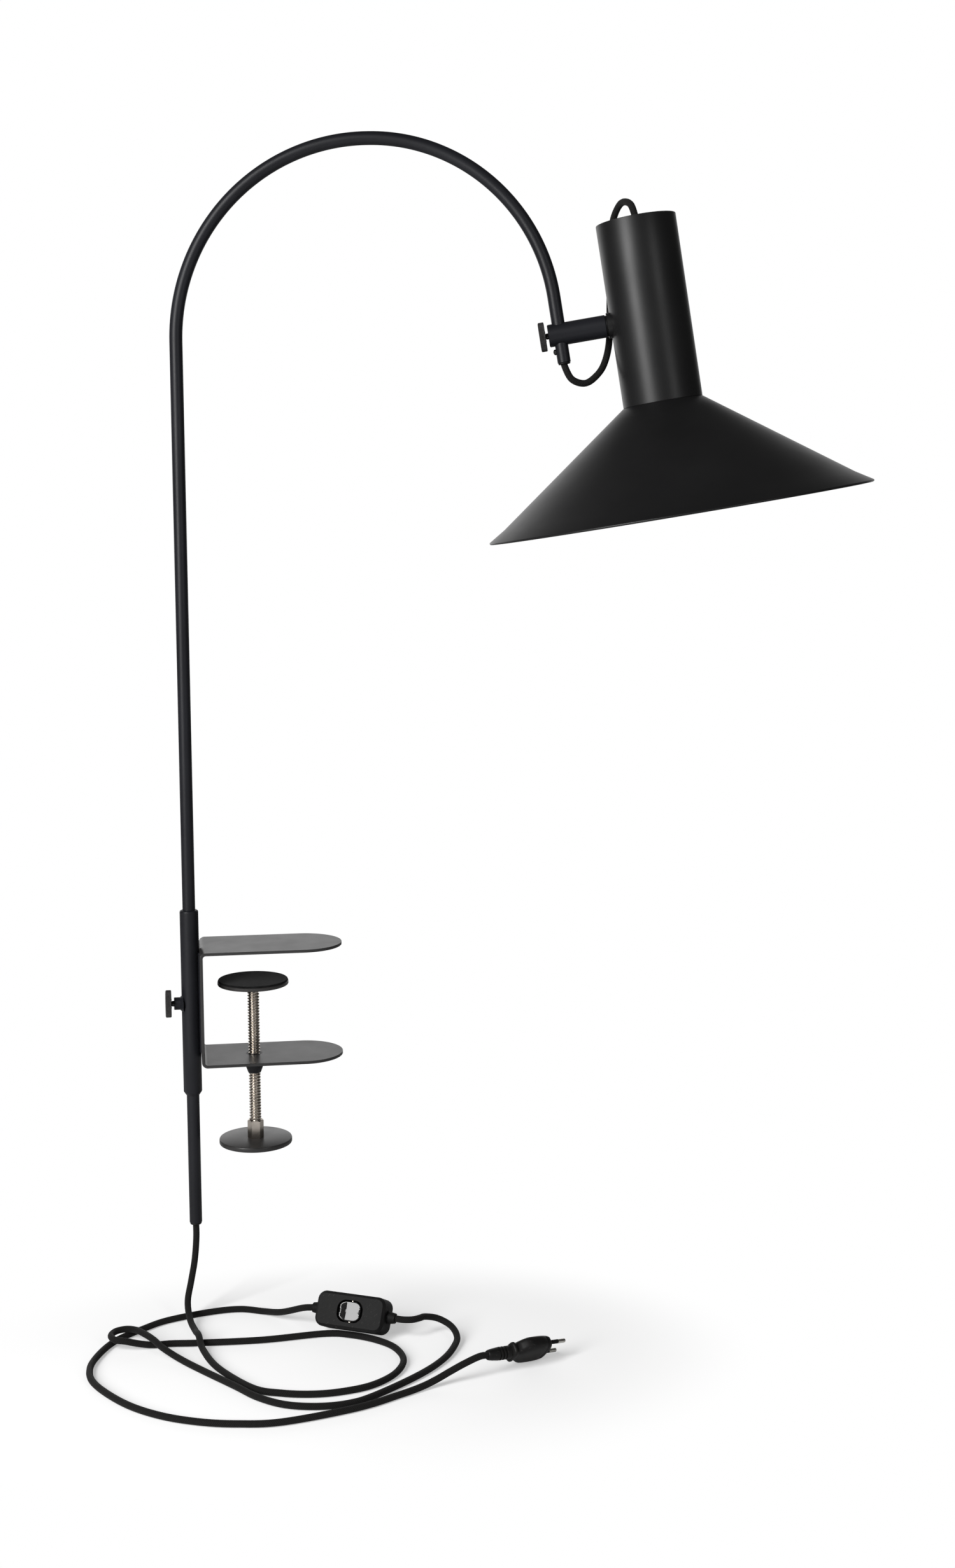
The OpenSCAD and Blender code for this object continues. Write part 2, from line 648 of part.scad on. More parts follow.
module head_lead() color([0.08, 0.08, 0.08]) head() lead_tube(head_lead_route, cord_d);
module lead_a() color([0.08, 0.08, 0.08]) lead_tube(on_floor(lead_a_route), cord_d);
module lead_b() color([0.08, 0.08, 0.08]) lead_tube(on_floor(lead_b_route), cord_d);

module round_rect(l, w, r) {
    square([l - 2 * r, w], center = true);
    square([l, w - 2 * r], center = true);
    for (x = [-1, 1]) for (y = [-1, 1])
        translate([x * (l / 2 - r), y * (w / 2 - r)]) circle(r = r);
}

module racetrack(l, w, r) { round_rect(l, w, min(r, w / 2 - 0.01)); }

// half of the switch's housing: full outline at z0, edges drawn in by c at z1
module housing(z0, z1, c) {
    step = z1 > z0 ? 1 : -1;
    rotate([z1 > z0 ? 0 : 180, 0, 0]) translate([0, 0, z0 * step]) hull() {
        linear_extrude(abs(z1 - z0) - c) round_rect(switch_len, switch_w, 9);
        linear_extrude(abs(z1 - z0)) round_rect(switch_len - 2 * c, switch_w - 2 * c, 9 - c);
    }
}

module switch_base() color([0.1, 0.1, 0.1]) at_switch() difference() {
    union() {
        housing(switch_split, -switch_t / 2, 4);
        for (side = [-1, 1]) translate([side * (switch_len / 2 - 1), 0, 0]) rotate([0, side * 90, 0])
            cylinder(h = nozzle_len + 1, d1 = 13, d2 = 10);
    }
    for (side = [-1, 1]) translate([side * (switch_len / 2 - 8), 0, 0]) rotate([0, side * 90, 0])
        cylinder(h = nozzle_len + 12, d = cord_d + fit);
    translate([0, 0, -2]) linear_extrude(20) racetrack(rocker_len + 3, rocker_w + 3, 9);
    for (side = [-1, 1]) translate([side * (switch_len / 2 - 15), 0, -switch_t])
        cylinder(h = switch_t, d = 6);
}

module switch_cover() color([0.1, 0.1, 0.1]) at_switch() difference() {
    housing(switch_split, switch_t / 2, 2.5);
    translate([0, 0, -2]) linear_extrude(40)
        racetrack(rocker_len + 2 * rocker_gap, rocker_w + 2 * rocker_gap, 9);
    translate([0, 0, -2]) linear_extrude(9) racetrack(rocker_len + 3, rocker_w + 3, 9);
    translate([0, 0, axle_z]) rotate([90, 0, 0])
        cylinder(h = rocker_w + 9, d = axle_d, center = true);
    for (side = [-1, 1]) translate([side * (switch_len / 2 - 8), 0, 0]) rotate([0, side * 90, 0])
        cylinder(h = 12, d = 13.2);
}

module switch_screws() color([0.5, 0.5, 0.5]) at_switch() for (side = [-1, 1])
    translate([side * (switch_len / 2 - 15), 0, -switch_t / 2 + 1]) pipe(0, 10, 5.6, 0);

module rocker_axle() color([0.5, 0.5, 0.5]) at_switch() translate([0, 0, axle_z])
    rotate([90, 0, 0]) cylinder(h = rocker_w + 8, d = axle_d, center = true);

module switch_rocker() color([0.12, 0.12, 0.12]) at_switch() translate([0, 0, axle_z])
    rotate([0, rocker_rest, 0]) difference() {
        intersection() {
            translate([0, 0, -6]) linear_extrude(16) racetrack(rocker_len, rocker_w, 9);
            rotate([90, 0, 0]) cylinder(h = 40, d = rocker_len, center = true);
            translate([-30, -30, -6]) cube([60, 60, 13.4]);
        }
        translate([0, 0, 55.5]) rotate([90, 0, 0])
            cylinder(h = 40, r = 50, center = true, $fn = 240);
        rotate([90, 0, 0]) cylinder(h = 40, d = axle_d + 2 * fit, center = true);
    }

module plug_relief() color([0.1, 0.1, 0.1]) at_plug() difference() {
    union() {
        along_x(0) cylinder(h = relief_len, d1 = 9.4, d2 = 11.4);
        for (x = [12:4:20]) along_x(x) cylinder(h = 2.2, d = 13);
    }
    along_x(-1) cylinder(h = 11, d = cord_d + fit);
}

module plug_body() color([0.1, 0.1, 0.1]) at_plug() difference() {
    intersection() {
        linear_extrude(plug_t * 2, center = true) polygon([
            [relief_len, -10], [relief_len + 4, -10], [relief_len + 16, -plug_w / 2],
            [plug_body_end - 8, -plug_w / 2], [plug_body_end, -plug_w / 2 + 3],
            [plug_body_end, plug_w / 2 - 3], [plug_body_end - 8, plug_w / 2],
            [relief_len + 16, plug_w / 2], [relief_len + 4, 10], [relief_len, 10]]);
        rotate([90, 0, 90]) linear_extrude(plug_body_end + 1) polygon([
            [-plug_w / 2, -2.5], [-plug_w / 2 + 6, -plug_t / 2], [plug_w / 2 - 6, -plug_t / 2],
            [plug_w / 2, -2.5], [plug_w / 2, 2.5], [plug_w / 2 - 6, plug_t / 2],
            [-plug_w / 2 + 6, plug_t / 2], [-plug_w / 2, 2.5]]);
    }
    for (side = [-1, 1]) translate([0, side * pin_pitch / 2, 0])
        along_x(plug_body_end - 10) cylinder(h = 11, d = pin_root_d);
}

module pin_sleeves() color([0.1, 0.1, 0.1]) at_plug() for (side = [-1, 1])
    translate([plug_body_end, side * pin_pitch / 2, 0])
        along_x(0) pipe(0, pin_sleeve_len, pin_d, pin_d - 1);

module plug_pins() color([0.8, 0.8, 0.78]) at_plug() for (side = [-1, 1])
    translate([plug_body_end, side * pin_pitch / 2, 0]) {
        along_x(-10) cylinder(h = 10, d = pin_root_d);
        along_x(0) cylinder(h = pin_sleeve_len, d = pin_d - 1);
        along_x(pin_sleeve_len) cylinder(h = pin_len - pin_sleeve_len - 1, d = pin_d);
        along_x(pin_len - 1) cylinder(h = 1, d1 = pin_d, d2 = pin_d - 2);
    }

clamp_bracket();
mast_sleeve();
sleeve_weld();
screw_boss();
spindle_bush();
sleeve_knob();
sleeve_stud();
pad_disc();
pad_felt();
pad_hub();
spindle_rod();
coupling_nut();
hand_wheel();
wheel_screw();
mast_lead();
mast_tube();
arch_lead();
mast_bush();
cord_grip();
grip_screw();
arm_bar();
arm_washer();
pivot_bolt();
head_knob();
head_stud();
saddle();
inner_saddle();
shade_neck();
shade_cone();
cone_screws();
top_cap();
lead_gland();
holder_stem();
holder_cup();
holder_ring();
bulb_cap();
bulb_glass();
head_lead();
lead_a();
lead_b();
switch_base();
switch_cover();
switch_screws();
switch_rocker();
rocker_axle();
plug_relief();
plug_body();
plug_pins();
pin_sleeves();
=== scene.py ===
"""Arched clamp-on lamp: finish, fine detail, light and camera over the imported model.

Lengths are in metres unless a name or comment says millimetres. Routes and small sizes are in
millimetres, as in the part's source, and mm() turns them into metres.
"""
import json
import math

import bpy
import bmesh
from mathutils import Matrix, Vector


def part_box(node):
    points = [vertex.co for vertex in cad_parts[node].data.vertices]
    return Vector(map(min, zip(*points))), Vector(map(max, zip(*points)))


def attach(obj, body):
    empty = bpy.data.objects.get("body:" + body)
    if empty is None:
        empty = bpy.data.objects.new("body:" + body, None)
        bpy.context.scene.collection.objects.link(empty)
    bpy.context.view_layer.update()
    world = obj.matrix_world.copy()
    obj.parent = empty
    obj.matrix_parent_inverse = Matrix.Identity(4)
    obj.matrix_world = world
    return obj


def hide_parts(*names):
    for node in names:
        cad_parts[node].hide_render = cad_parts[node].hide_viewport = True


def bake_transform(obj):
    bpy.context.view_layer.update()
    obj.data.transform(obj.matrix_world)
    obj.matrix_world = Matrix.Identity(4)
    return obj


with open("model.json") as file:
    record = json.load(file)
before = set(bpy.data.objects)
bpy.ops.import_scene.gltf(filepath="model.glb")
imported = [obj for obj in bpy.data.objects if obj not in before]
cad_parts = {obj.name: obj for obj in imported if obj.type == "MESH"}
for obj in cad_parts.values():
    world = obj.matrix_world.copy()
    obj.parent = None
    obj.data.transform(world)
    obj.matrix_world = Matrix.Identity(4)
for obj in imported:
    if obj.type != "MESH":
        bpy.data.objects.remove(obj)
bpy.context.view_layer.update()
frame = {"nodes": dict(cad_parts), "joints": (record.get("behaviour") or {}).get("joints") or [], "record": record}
NODES = frame["nodes"]
JOINTS = {j["name"]: j for j in frame["joints"]}
TAU = 2 * math.pi


def mm(*xyz):
    return Vector(xyz) * 0.001


def axes_matrix(x, z, origin):
    """A frame with the given x and z directions."""
    x, z = Vector(x).normalized(), Vector(z).normalized()
    y = z.cross(x)
    m = Matrix((x, y, z)).transposed().to_4x4()
    m.translation = Vector(origin)
    return m


# The head's own directions: x along the arm to the shade, z up the swivel's axis.
HEAD = axes_matrix(
    JOINTS["shade_tilt"]["axis"], JOINTS["arm_swivel"]["axis"], JOINTS["arm_swivel"]["pos_m"]
)
# The shade's axis from the swivel's axis, and its small lean about the arm in degrees.
SHADE_REACH = 87.4
SHADE_LEAN = 0.9
SHADE = HEAD @ Matrix.Rotation(math.radians(SHADE_LEAN), 4, "X") @ Matrix.Translation(
    mm(SHADE_REACH, 0, 0)
)
# The plane that the lead lies on, below the origin.
FLOOR_DROP = 390.0
CORD_D = 6.6


# ---- camera, floor and light ----

PICTURE_HEIGHT = 2464
FOCAL_LENGTH = 3000  # in the same units as the picture's height
SENSOR = 36.0
CAMERA_PLACE = (-71.1, -1911.3, 415.2)
CAMERA_YAW, CAMERA_PITCH, CAMERA_ROLL = -9.0, 7.5, -0.157  # degrees

LAMP_TARGET = (100, -60, 250)
# name, place and size in metres, power in watts
LAMPS = (
    ("key", (-1.33, -1.48, 1.0), (0.75, 1.7), 50),
    ("fill", (1.24, -2.12, 1.0), (0.45, 1.7), 6.5),
)

# The room that the object sees: dim, with a white wall low and behind.
WALL_SIDE = (0.0, 1.0, 0.0)
WALL_EDGES = 0.6, 0.95  # cosines of the angle to WALL_SIDE between which it fades in
WALL_TOP = 0.05, 0.82  # heights on the unit sphere between which it fades out
ROOM_DIM, ROOM_WALL = 0.07, 1.4

FLOOR_RADIUS, FLOOR_STRETCH = 6, 1.6
FLOOR_CENTRE = (60, -130)
FLOOR_GAP = 0.2
FLOOR_FADE = 0.16, 0.27  # metres from the centre between which it turns plain white
FLOOR_TONE = (0.8, 0.8, 0.8, 1)
FLOOR_GLOW = 0.35
WHITE = (1, 1, 1, 1)


def add_node(t, kind, values=None, **settings):
    """A shader node. A value for an input is a socket to link, or a number or colour."""
    n = t.nodes.new("ShaderNode" + kind)
    for name, setting in settings.items():
        setattr(n, name, setting)
    for name, value in (values or {}).items():
        if isinstance(value, bpy.types.NodeSocket):
            t.links.new(value, n.inputs[name])
        else:
            n.inputs[name].default_value = value
    return n


def smoothstep(t, value, edges, low=0.0, high=1.0):
    """Goes smoothly from low to high while the value passes between the two edges."""
    return add_node(t, "MapRange", {
        "Value": value, "From Min": edges[0], "From Max": edges[1], "To Min": low, "To Max": high,
    }, interpolation_type="SMOOTHSTEP").outputs["Result"]


def add_camera():
    """A long lens from the front left of the clamp, looking slightly down."""
    pitch, roll = math.radians(CAMERA_PITCH), math.radians(CAMERA_ROLL)
    view = Vector((0, math.cos(pitch), -math.sin(pitch)))
    up = Vector((0, math.sin(pitch), math.cos(pitch)))
    right = Vector((1, 0, 0))
    turn = Matrix.Rotation(math.radians(CAMERA_YAW), 3, "Z")
    side = turn @ (right * math.cos(roll) + up * math.sin(roll))
    top = turn @ (up * math.cos(roll) - right * math.sin(roll))
    data = bpy.data.cameras.new("camera")
    data.sensor_width = SENSOR
    data.lens = SENSOR * FOCAL_LENGTH / PICTURE_HEIGHT
    data.clip_end = 50
    camera = bpy.data.objects.new("camera", data)
    bpy.context.scene.collection.objects.link(camera)
    m = Matrix((side, top, -(turn @ view))).transposed().to_4x4()
    m.translation = mm(*CAMERA_PLACE)
    camera.matrix_world = m
    bpy.context.scene.camera = camera


def add_lamps():
    """A tall soft box on the left, and a narrow weak one on the right."""
    for name, place, (width, height), power in LAMPS:
        data = bpy.data.lights.new(name, "AREA")
        data.energy = power
        data.shape = "RECTANGLE"
        data.size = width
        data.size_y = height
        lamp = bpy.data.objects.new(name, data)
        bpy.context.scene.collection.objects.link(lamp)
        lamp.location = place
        aim = mm(*LAMP_TARGET) - Vector(place)
        lamp.rotation_euler = aim.to_track_quat("-Z", "Y").to_euler()


def add_world():
    """White to the camera and through glass. The object sees the room of WALL_SIDE."""
    world = bpy.data.worlds.new("room")
    bpy.context.scene.world = world
    world.use_nodes = True
    t = world.node_tree
    t.nodes.clear()
    way = add_node(t, "TexCoord").outputs["Generated"]
    toward = add_node(t, "VectorMath", {0: way, 1: WALL_SIDE}, operation="DOT_PRODUCT")
    height = add_node(t, "SeparateXYZ", {0: way}).outputs["Z"]
    wall = add_node(t, "Math", {
        0: smoothstep(t, toward.outputs["Value"], WALL_EDGES),
        1: smoothstep(t, height, WALL_TOP, 1.0, 0.0),
    }, operation="MULTIPLY")
    strength = span(t, wall.outputs[0], ROOM_DIM, ROOM_WALL)
    room = add_node(t, "Background", {"Color": WHITE, "Strength": strength})
    white = add_node(t, "Background", {"Color": WHITE})
    path = add_node(t, "LightPath")
    either = add_node(t, "Math", {
        0: path.outputs["Is Camera Ray"], 1: path.outputs["Is Transmission Ray"],
    }, operation="MAXIMUM")
    mix = add_node(t, "MixShader", {0: either.outputs[0], 1: room.outputs[0], 2: white.outputs[0]})
    add_node(t, "OutputWorld", {0: mix.outputs[0]})


def add_floor():
    """A white floor that keeps shadows and fades into the white room.

    Seen from below it is clear, so that the underside of the lamp shows.
    """
    mesh = bpy.data.meshes.new("floor")
    bm = bmesh.new()
    bmesh.ops.create_circle(bm, cap_ends=True, segments=96, radius=FLOOR_RADIUS)
    bm.to_mesh(mesh)
    bm.free()
    floor = bpy.data.objects.new("floor", mesh)
    floor.location = mm(*FLOOR_CENTRE, -FLOOR_DROP - FLOOR_GAP)
    floor.scale = (FLOOR_STRETCH, 1, 1)
    bpy.context.scene.collection.objects.link(floor)
    m = bpy.data.materials.new("floor")
    m.use_nodes = True
    t = m.node_tree
    t.nodes.clear()
    place = add_node(t, "TexCoord").outputs["Object"]
    reach = add_node(t, "VectorMath", {0: place}, operation="LENGTH").outputs["Value"]
    plain = add_node(t, "BsdfDiffuse", {"Color": FLOOR_TONE})
    lit = add_node(t, "BsdfDiffuse", {"Color": WHITE})
    glow = add_node(t, "Emission", {"Strength": FLOOR_GLOW})
    near = add_node(t, "AddShader", {0: lit.outputs[0], 1: glow.outputs[0]})
    far = add_node(t, "Emission")
    seen = add_node(t, "MixShader", {
        0: smoothstep(t, reach, FLOOR_FADE), 1: near.outputs[0], 2: far.outputs[0],
    })
    from_above = add_node(t, "MixShader", {
        0: add_node(t, "LightPath").outputs["Is Camera Ray"],
        1: plain.outputs[0], 2: seen.outputs[0],
    })
    surface = add_node(t, "MixShader", {
        0: add_node(t, "NewGeometry").outputs["Backfacing"],
        1: from_above.outputs[0], 2: add_node(t, "BsdfTransparent").outputs[0],
    })
    add_node(t, "OutputMaterial", {0: surface.outputs[0]})
    mesh.materials.append(m)


# ---- materials ----

def shader_nodes(name):
    m = bpy.data.materials.new(name)
    m.use_nodes = True
    t = m.node_tree
    return m, t, t.nodes["Principled BSDF"]


def noise(t, scale, detail=3.0, rough=0.55, stretch=None):
    """A noise texture in metres of the object's own space."""
    where = add_node(t, "TexCoord").outputs["Object"]
    if stretch:
        where = add_node(t, "Mapping", {0: where, "Scale": stretch}).outputs[0]
    return add_node(t, "TexNoise", {
        "Scale": scale, "Detail": detail, "Roughness": rough, "Vector": where,
    }).outputs["Fac"]


def ramp(t, source, low, high, color_low, color_high):
    n = add_node(t, "ValToRGB", {0: source})
    for element, place, color in zip(n.color_ramp.elements, (low, high), (color_low, color_high)):
        element.position = place
        element.color = (*color, 1)
    return n.outputs[0]


def span(t, source, low, high):
    """Maps 0..1 to low..high."""
    return add_node(
        t, "MapRange", {"To Min": low, "To Max": high, "Value": source}
    ).outputs["Result"]


def bump(t, height, distance, strength=1.0, under=None):
    values = {"Distance": distance, "Strength": strength, "Height": height}
    if under:
        values["Normal"] = under
    return add_node(t, "Bump", values).outputs["Normal"]


def lacquer(name, dark, light, rough_low, rough_high, specular, grain=0.00002):
    """Baked paint: faint orange peel, soft clouding and uneven gloss."""
    m, t, p = shader_nodes(name)
    t.links.new(ramp(t, noise(t, 9, 4), 0.35, 0.7, dark, light), p.inputs["Base Color"])
    t.links.new(span(t, noise(t, 40, 5), rough_low, rough_high), p.inputs["Roughness"])
    peel = bump(t, noise(t, 900, 2), grain, 0.5)
    t.links.new(bump(t, noise(t, 3500, 1), grain * 0.6, 0.35, peel), p.inputs["Normal"])
    p.inputs["Specular IOR Level"].default_value = specular
    return m


def metal(name, dark, light, rough_low, rough_high, stretch=(1, 1, 1)):
    """Bare turned steel: fine tool marks, and tarnish that is dull where it is dark."""
    m, t, p = shader_nodes(name)
    p.inputs["Metallic"].default_value = 1.0
    cloud = noise(t, 60, 5)
    marks = noise(t, 1500, 2, stretch=stretch)
    t.links.new(ramp(t, cloud, 0.3, 0.75, dark, light), p.inputs["Base Color"])
    t.links.new(span(t, cloud, rough_high, rough_low), p.inputs["Roughness"])
    t.links.new(bump(t, marks, 0.00002, 0.5), p.inputs["Normal"])
    return m


def plastic(name, dark, light, rough_low, rough_high, specular, scuffs=True, relief=0.00003):
    """Moulded plastic: spark-eroded grain, with pale rubs where hands go."""
    m, t, p = shader_nodes(name)
    cloud = noise(t, 30, 6, 0.65)
    base = ramp(t, cloud, 0.4, 0.75, dark, light)
    if scuffs:
        rub = noise(t, 240, 5, 0.7, stretch=(1, 6, 1))
        pale = ramp(t, rub, 0.6, 0.72, (0, 0, 0), (0.045, 0.043, 0.04))
        base = add_node(
            t, "Mix", {"Factor": 1, "A": base, "B": pale}, data_type="RGBA", blend_type="ADD"
        ).outputs["Result"]
    t.links.new(base, p.inputs["Base Color"])
    t.links.new(span(t, cloud, rough_low, rough_high), p.inputs["Roughness"])
    t.links.new(bump(t, noise(t, 2600, 2), relief, 0.6), p.inputs["Normal"])
    p.inputs["Specular IOR Level"].default_value = specular
    return m


def felt(name, dark, light):
    """Pressed wool: short fuzz over slow patches, with hardly any gloss."""
    m, t, p = shader_nodes(name)
    t.links.new(ramp(t, noise(t, 120, 4), 0.3, 0.8, dark, light), p.inputs["Base Color"])
    p.inputs["Roughness"].default_value = 0.95
    p.inputs["Sheen Weight"].default_value = 0.05
    p.inputs["Specular IOR Level"].default_value = 0.1
    t.links.new(bump(t, noise(t, 1800, 6, 0.75), 0.0004, 0.8), p.inputs["Normal"])
    return m


def braid(name, dark, light, picks=0.55, yarns=8):
    """Textile sleeve: two sets of yarns that cross over the lead's own length and girth, with painted shade where
    the weave lies low.

    picks is how many yarns pass in a millimetre of length, yarns how many lie around.
    """
    m, t, p = shader_nodes(name)
    uv = add_node(t, "TexCoord").outputs["UV"]
    split = add_node(t, "SeparateXYZ", {0: uv})

    def wave(around):
        along = add_node(t, "Math", {0: split.outputs["X"], 1: picks * TAU}, operation="MULTIPLY")
        angle = add_node(t, "Math", {
            0: split.outputs["Y"], 1: around * TAU, 2: along.outputs[0],
        }, operation="MULTIPLY_ADD")
        return add_node(t, "Math", {0: angle.outputs[0]}, operation="SINE").outputs[0]

    top = add_node(t, "Math", {0: wave(yarns), 1: wave(-yarns)}, operation="MAXIMUM").outputs[0]
    height = add_node(t, "MapRange", {"From Min": -1, "Value": top}).outputs["Result"]
    # painted shade: the colour runs from the darker tone in the weave's hollows to the lighter tone on the yarns'
    # crests
    t.links.new(ramp(t, height, 0.2, 1.0, dark, light), p.inputs["Base Color"])
    p.inputs["Roughness"].default_value = 0.75
    p.inputs["Sheen Weight"].default_value = 0.06
    p.inputs["Specular IOR Level"].default_value = 0.15
    weave = bump(t, height, 0.0003, 0.9)
    t.links.new(bump(t, noise(t, 2500, 3), 0.0001, 0.5, weave), p.inputs["Normal"])
    return m


def opal(name, dark, light):
    """Opal glass of a frosted bulb."""
    m, t, p = shader_nodes(name)
    t.links.new(ramp(t, noise(t, 50, 3), 0.3, 0.8, dark, light), p.inputs["Base Color"])
    p.inputs["Roughness"].default_value = 0.22
    p.inputs["Subsurface Weight"].default_value = 0.3
    p.inputs["Subsurface Radius"].default_value = (0.01, 0.01, 0.01)
    return m


# Each slot's darker and lighter tone, then its range of roughness and its specular level.
MATERIALS = {
    "powder_black": lacquer(
        "powder_black", (0.009, 0.0093, 0.0118), (0.0145, 0.015, 0.0188), 0.36, 0.48, 0.28
    ),
    "plate_black": lacquer(
        "plate_black", (0.026, 0.0254, 0.0254), (0.04, 0.039, 0.039), 0.3, 0.42, 0.42
    ),
    "shade_black": lacquer(
        "shade_black", (0.007, 0.007, 0.0073), (0.0105, 0.0105, 0.0108), 0.36, 0.44, 0.4,
        grain=0.00001,
    ),
    "wheel_steel": lacquer(
        "wheel_steel", (0.022, 0.0208, 0.0208), (0.036, 0.034, 0.0328), 0.3, 0.42, 0.5
    ),
    "bare_steel": metal(
        "bare_steel", (0.54, 0.49, 0.43), (0.74, 0.67, 0.6), 0.18, 0.32, stretch=(1, 1, 9)
    ),
    "dark_steel": metal("dark_steel", (0.05, 0.05, 0.05), (0.12, 0.115, 0.11), 0.3, 0.45),
    "cap_metal": metal("cap_metal", (0.5, 0.48, 0.4), (0.7, 0.67, 0.58), 0.25, 0.4),
    "pin_metal": metal("pin_metal", (0.62, 0.6, 0.55), (0.8, 0.78, 0.73), 0.12, 0.22),
    "felt_black": felt("felt_black", (0.004, 0.004, 0.004), (0.012, 0.012, 0.012)),
    # the braid's darker tone is painted shade in the weave's hollows
    "textile_black": braid("textile_black", (0.0035, 0.0035, 0.0035), (0.0155, 0.0148, 0.014)),
    "plastic_black": plastic(
        "plastic_black", (0.0075, 0.0075, 0.0075), (0.016, 0.0157, 0.0153), 0.5, 0.68, 0.17
    ),
    "rocker_gloss": plastic(
        "rocker_gloss", (0.008, 0.008, 0.008), (0.012, 0.012, 0.012), 0.07, 0.11, 0.5,
        scuffs=False, relief=0.000003,
    ),
    "rubber_black": plastic(
        "rubber_black", (0.007, 0.0067, 0.0067), (0.0145, 0.0138, 0.0132), 0.4, 0.55, 0.26
    ),
    "opal_glass": opal("opal_glass", (0.82, 0.82, 0.79), (0.9, 0.9, 0.87)),
}


def dress_frame():
    """Every CAD node gets its slot's material."""
    for part in frame["record"]["subparts"]:
        data = NODES[part["node"]].data
        data.materials.clear()
        data.materials.append(MATERIALS[part["material_slot"]])


def body_of(node):
    for body, members in frame["record"]["behaviour"]["bodies"].items():
        if node in members:
            return body


# ---- mesh helpers ----

def new_piece(name, verts, faces, slot, smooth=True, uvs=None):
    mesh = bpy.data.meshes.new(name)
    mesh.from_pydata([tuple(v) for v in verts], [], faces)
    mesh.materials.append(MATERIALS[slot])
    if uvs:
        layer = mesh.uv_layers.new(name="length")
        for loop in mesh.loops:
            layer.data[loop.index].uv = uvs[loop.vertex_index]
    piece = bpy.data.objects.new(name, mesh)
    bpy.context.scene.collection.objects.link(piece)
    if smooth:
        mesh.shade_smooth()
    return piece


def ring_faces(rings, sides):
    """Quads between closed rings of points that follow each other."""
    faces = []
    for i in range(rings - 1):
        near, far = i * sides, (i + 1) * sides
        for k in range(sides):
            m = (k + 1) % sides
            faces.append((near + k, near + m, far + m, far + k))
    return faces


def first_face(sides):
    return tuple(range(sides - 1, -1, -1))


def last_face(rings, sides):
    return tuple((rings - 1) * sides + k for k in range(sides))


def sharpen(piece, angle=35):
    """Smooth shading with hard edges past an angle."""
    bm = bmesh.new()
    bm.from_mesh(piece.data)
    bmesh.ops.recalc_face_normals(bm, faces=bm.faces)
    for e in bm.edges:
        e.smooth = len(e.link_faces) == 2 and e.calc_face_angle(0) < math.radians(angle)
    bm.to_mesh(piece.data)
    bm.free()
    piece.data.shade_smooth()
    return piece


def softened(node, width_mm, segments=3, angle=30):
    """A copy of a CAD node with its hard edges broken, standing for the node."""
    mesh = NODES[node].data.copy()
    bm = bmesh.new()
    bm.from_mesh(mesh)
    bmesh.ops.remove_doubles(bm, verts=bm.verts, dist=1e-6)
    bmesh.ops.dissolve_limit(bm, angle_limit=math.radians(1), verts=bm.verts, edges=bm.edges)
    bm.to_mesh(mesh)
    bm.free()
    piece = bpy.data.objects.new("soft_" + node, mesh)
    bpy.context.scene.collection.objects.link(piece)
    bevel = piece.modifiers.new("bevel", "BEVEL")
    bevel.width = width_mm * 0.001
    bevel.segments = segments
    bevel.limit_method = "ANGLE"
    bevel.angle_limit = math.radians(angle)
    bevel.harden_normals = True
    weighted = piece.modifiers.new("flat faces stay flat", "WEIGHTED_NORMAL")
    weighted.keep_sharp = True
    mesh.shade_smooth()
    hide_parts(node)
    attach(piece, body_of(node))
    return piece


def lathe(
    name, profile, place, slot, sides=96, caps=True, ribs=0, rib_depth=0.0, rib_rows=()
):
    """Revolves (radius, height) pairs, in millimetres, about z; some rows may be knurled."""
    verts = []
    for i, (radius, z) in enumerate(profile):
        for k in range(sides):
            a = TAU * k / sides
            r = radius
            if i in rib_rows:
                r -= rib_depth * (0.5 + 0.5 * math.cos(ribs * a))
            verts.append(place @ mm(r * math.cos(a), r * math.sin(a), z))
    faces = ring_faces(len(profile), sides)
    if caps:
        faces += [first_face(sides), last_face(len(profile), sides)]
    return sharpen(new_piece(name, verts, faces, slot))


def along_x(matrix, x):
    """A frame whose z runs along the given frame's x, from x in millimetres."""
    return matrix @ Matrix.Translation(mm(x, 0, 0)) @ Matrix.Rotation(math.radians(90), 4, "Y")


# ---- leads ----

# Routes of the lead's centre line: x, y and height over the floor, from the mast to the
# switch and from the switch to the plug.
LEAD_A = [
    (-62.8, 0, 105), (-62.8, 0, 86), (-65, 0, 62), (-69, 0, 40), (-73, -5, 20), (-71, -25, 8.5),
    (-66, -49, 6.5), (-63, -71, 11), (-59, -95, 6), (-45, -134, 3.5), (-14, -183, 3.5),
    (12, -198, 3.5), (41, -205, 3.5), (69, -204, 3.5), (98, -195, 3.5), (122, -174, 3.5),
    (134, -145, 3.5), (129, -115, 3.5), (112, -93, 3.5), (88, -77, 3.5), (62, -70, 3.5),
    (0, -75, 3.5), (-62, -72, 3.5), (-90, -69, 3.5), (-107, -69.5, 3.5), (-121, -71.5, 6.5),
    (-135, -72, 10.3), (-145.3, -67.8, 10.7), (-149.5, -57.5, 10.7), (-145.3, -47.2, 10.7),
    (-135, -43, 10.7), (-125.5, -47, 10.8), (-118.5, -57.5, 11.9), (-108, -75, 11.9),
    (-97, -92, 8.5), (-74, -118, 3.5), (-31, -175, 3.5), (-11, -202, 3.5), (13, -222, 3.5),
    (42, -231, 3.5), (71, -230, 3.5), (97, -218, 3.5), (145, -180, 3.5), (174, -147, 3.5),
    (190, -116, 4.5), (192.5, -101, 7.5), (188, -88, 11.5), (176.5, -80.5, 16.2),
    (163.5, -83.5, 20.2), (157, -89, 21.4), (149, -93.4, 22.1), (140, -92.5, 22.3),
    (132.5, -88.5, 22.3),
]
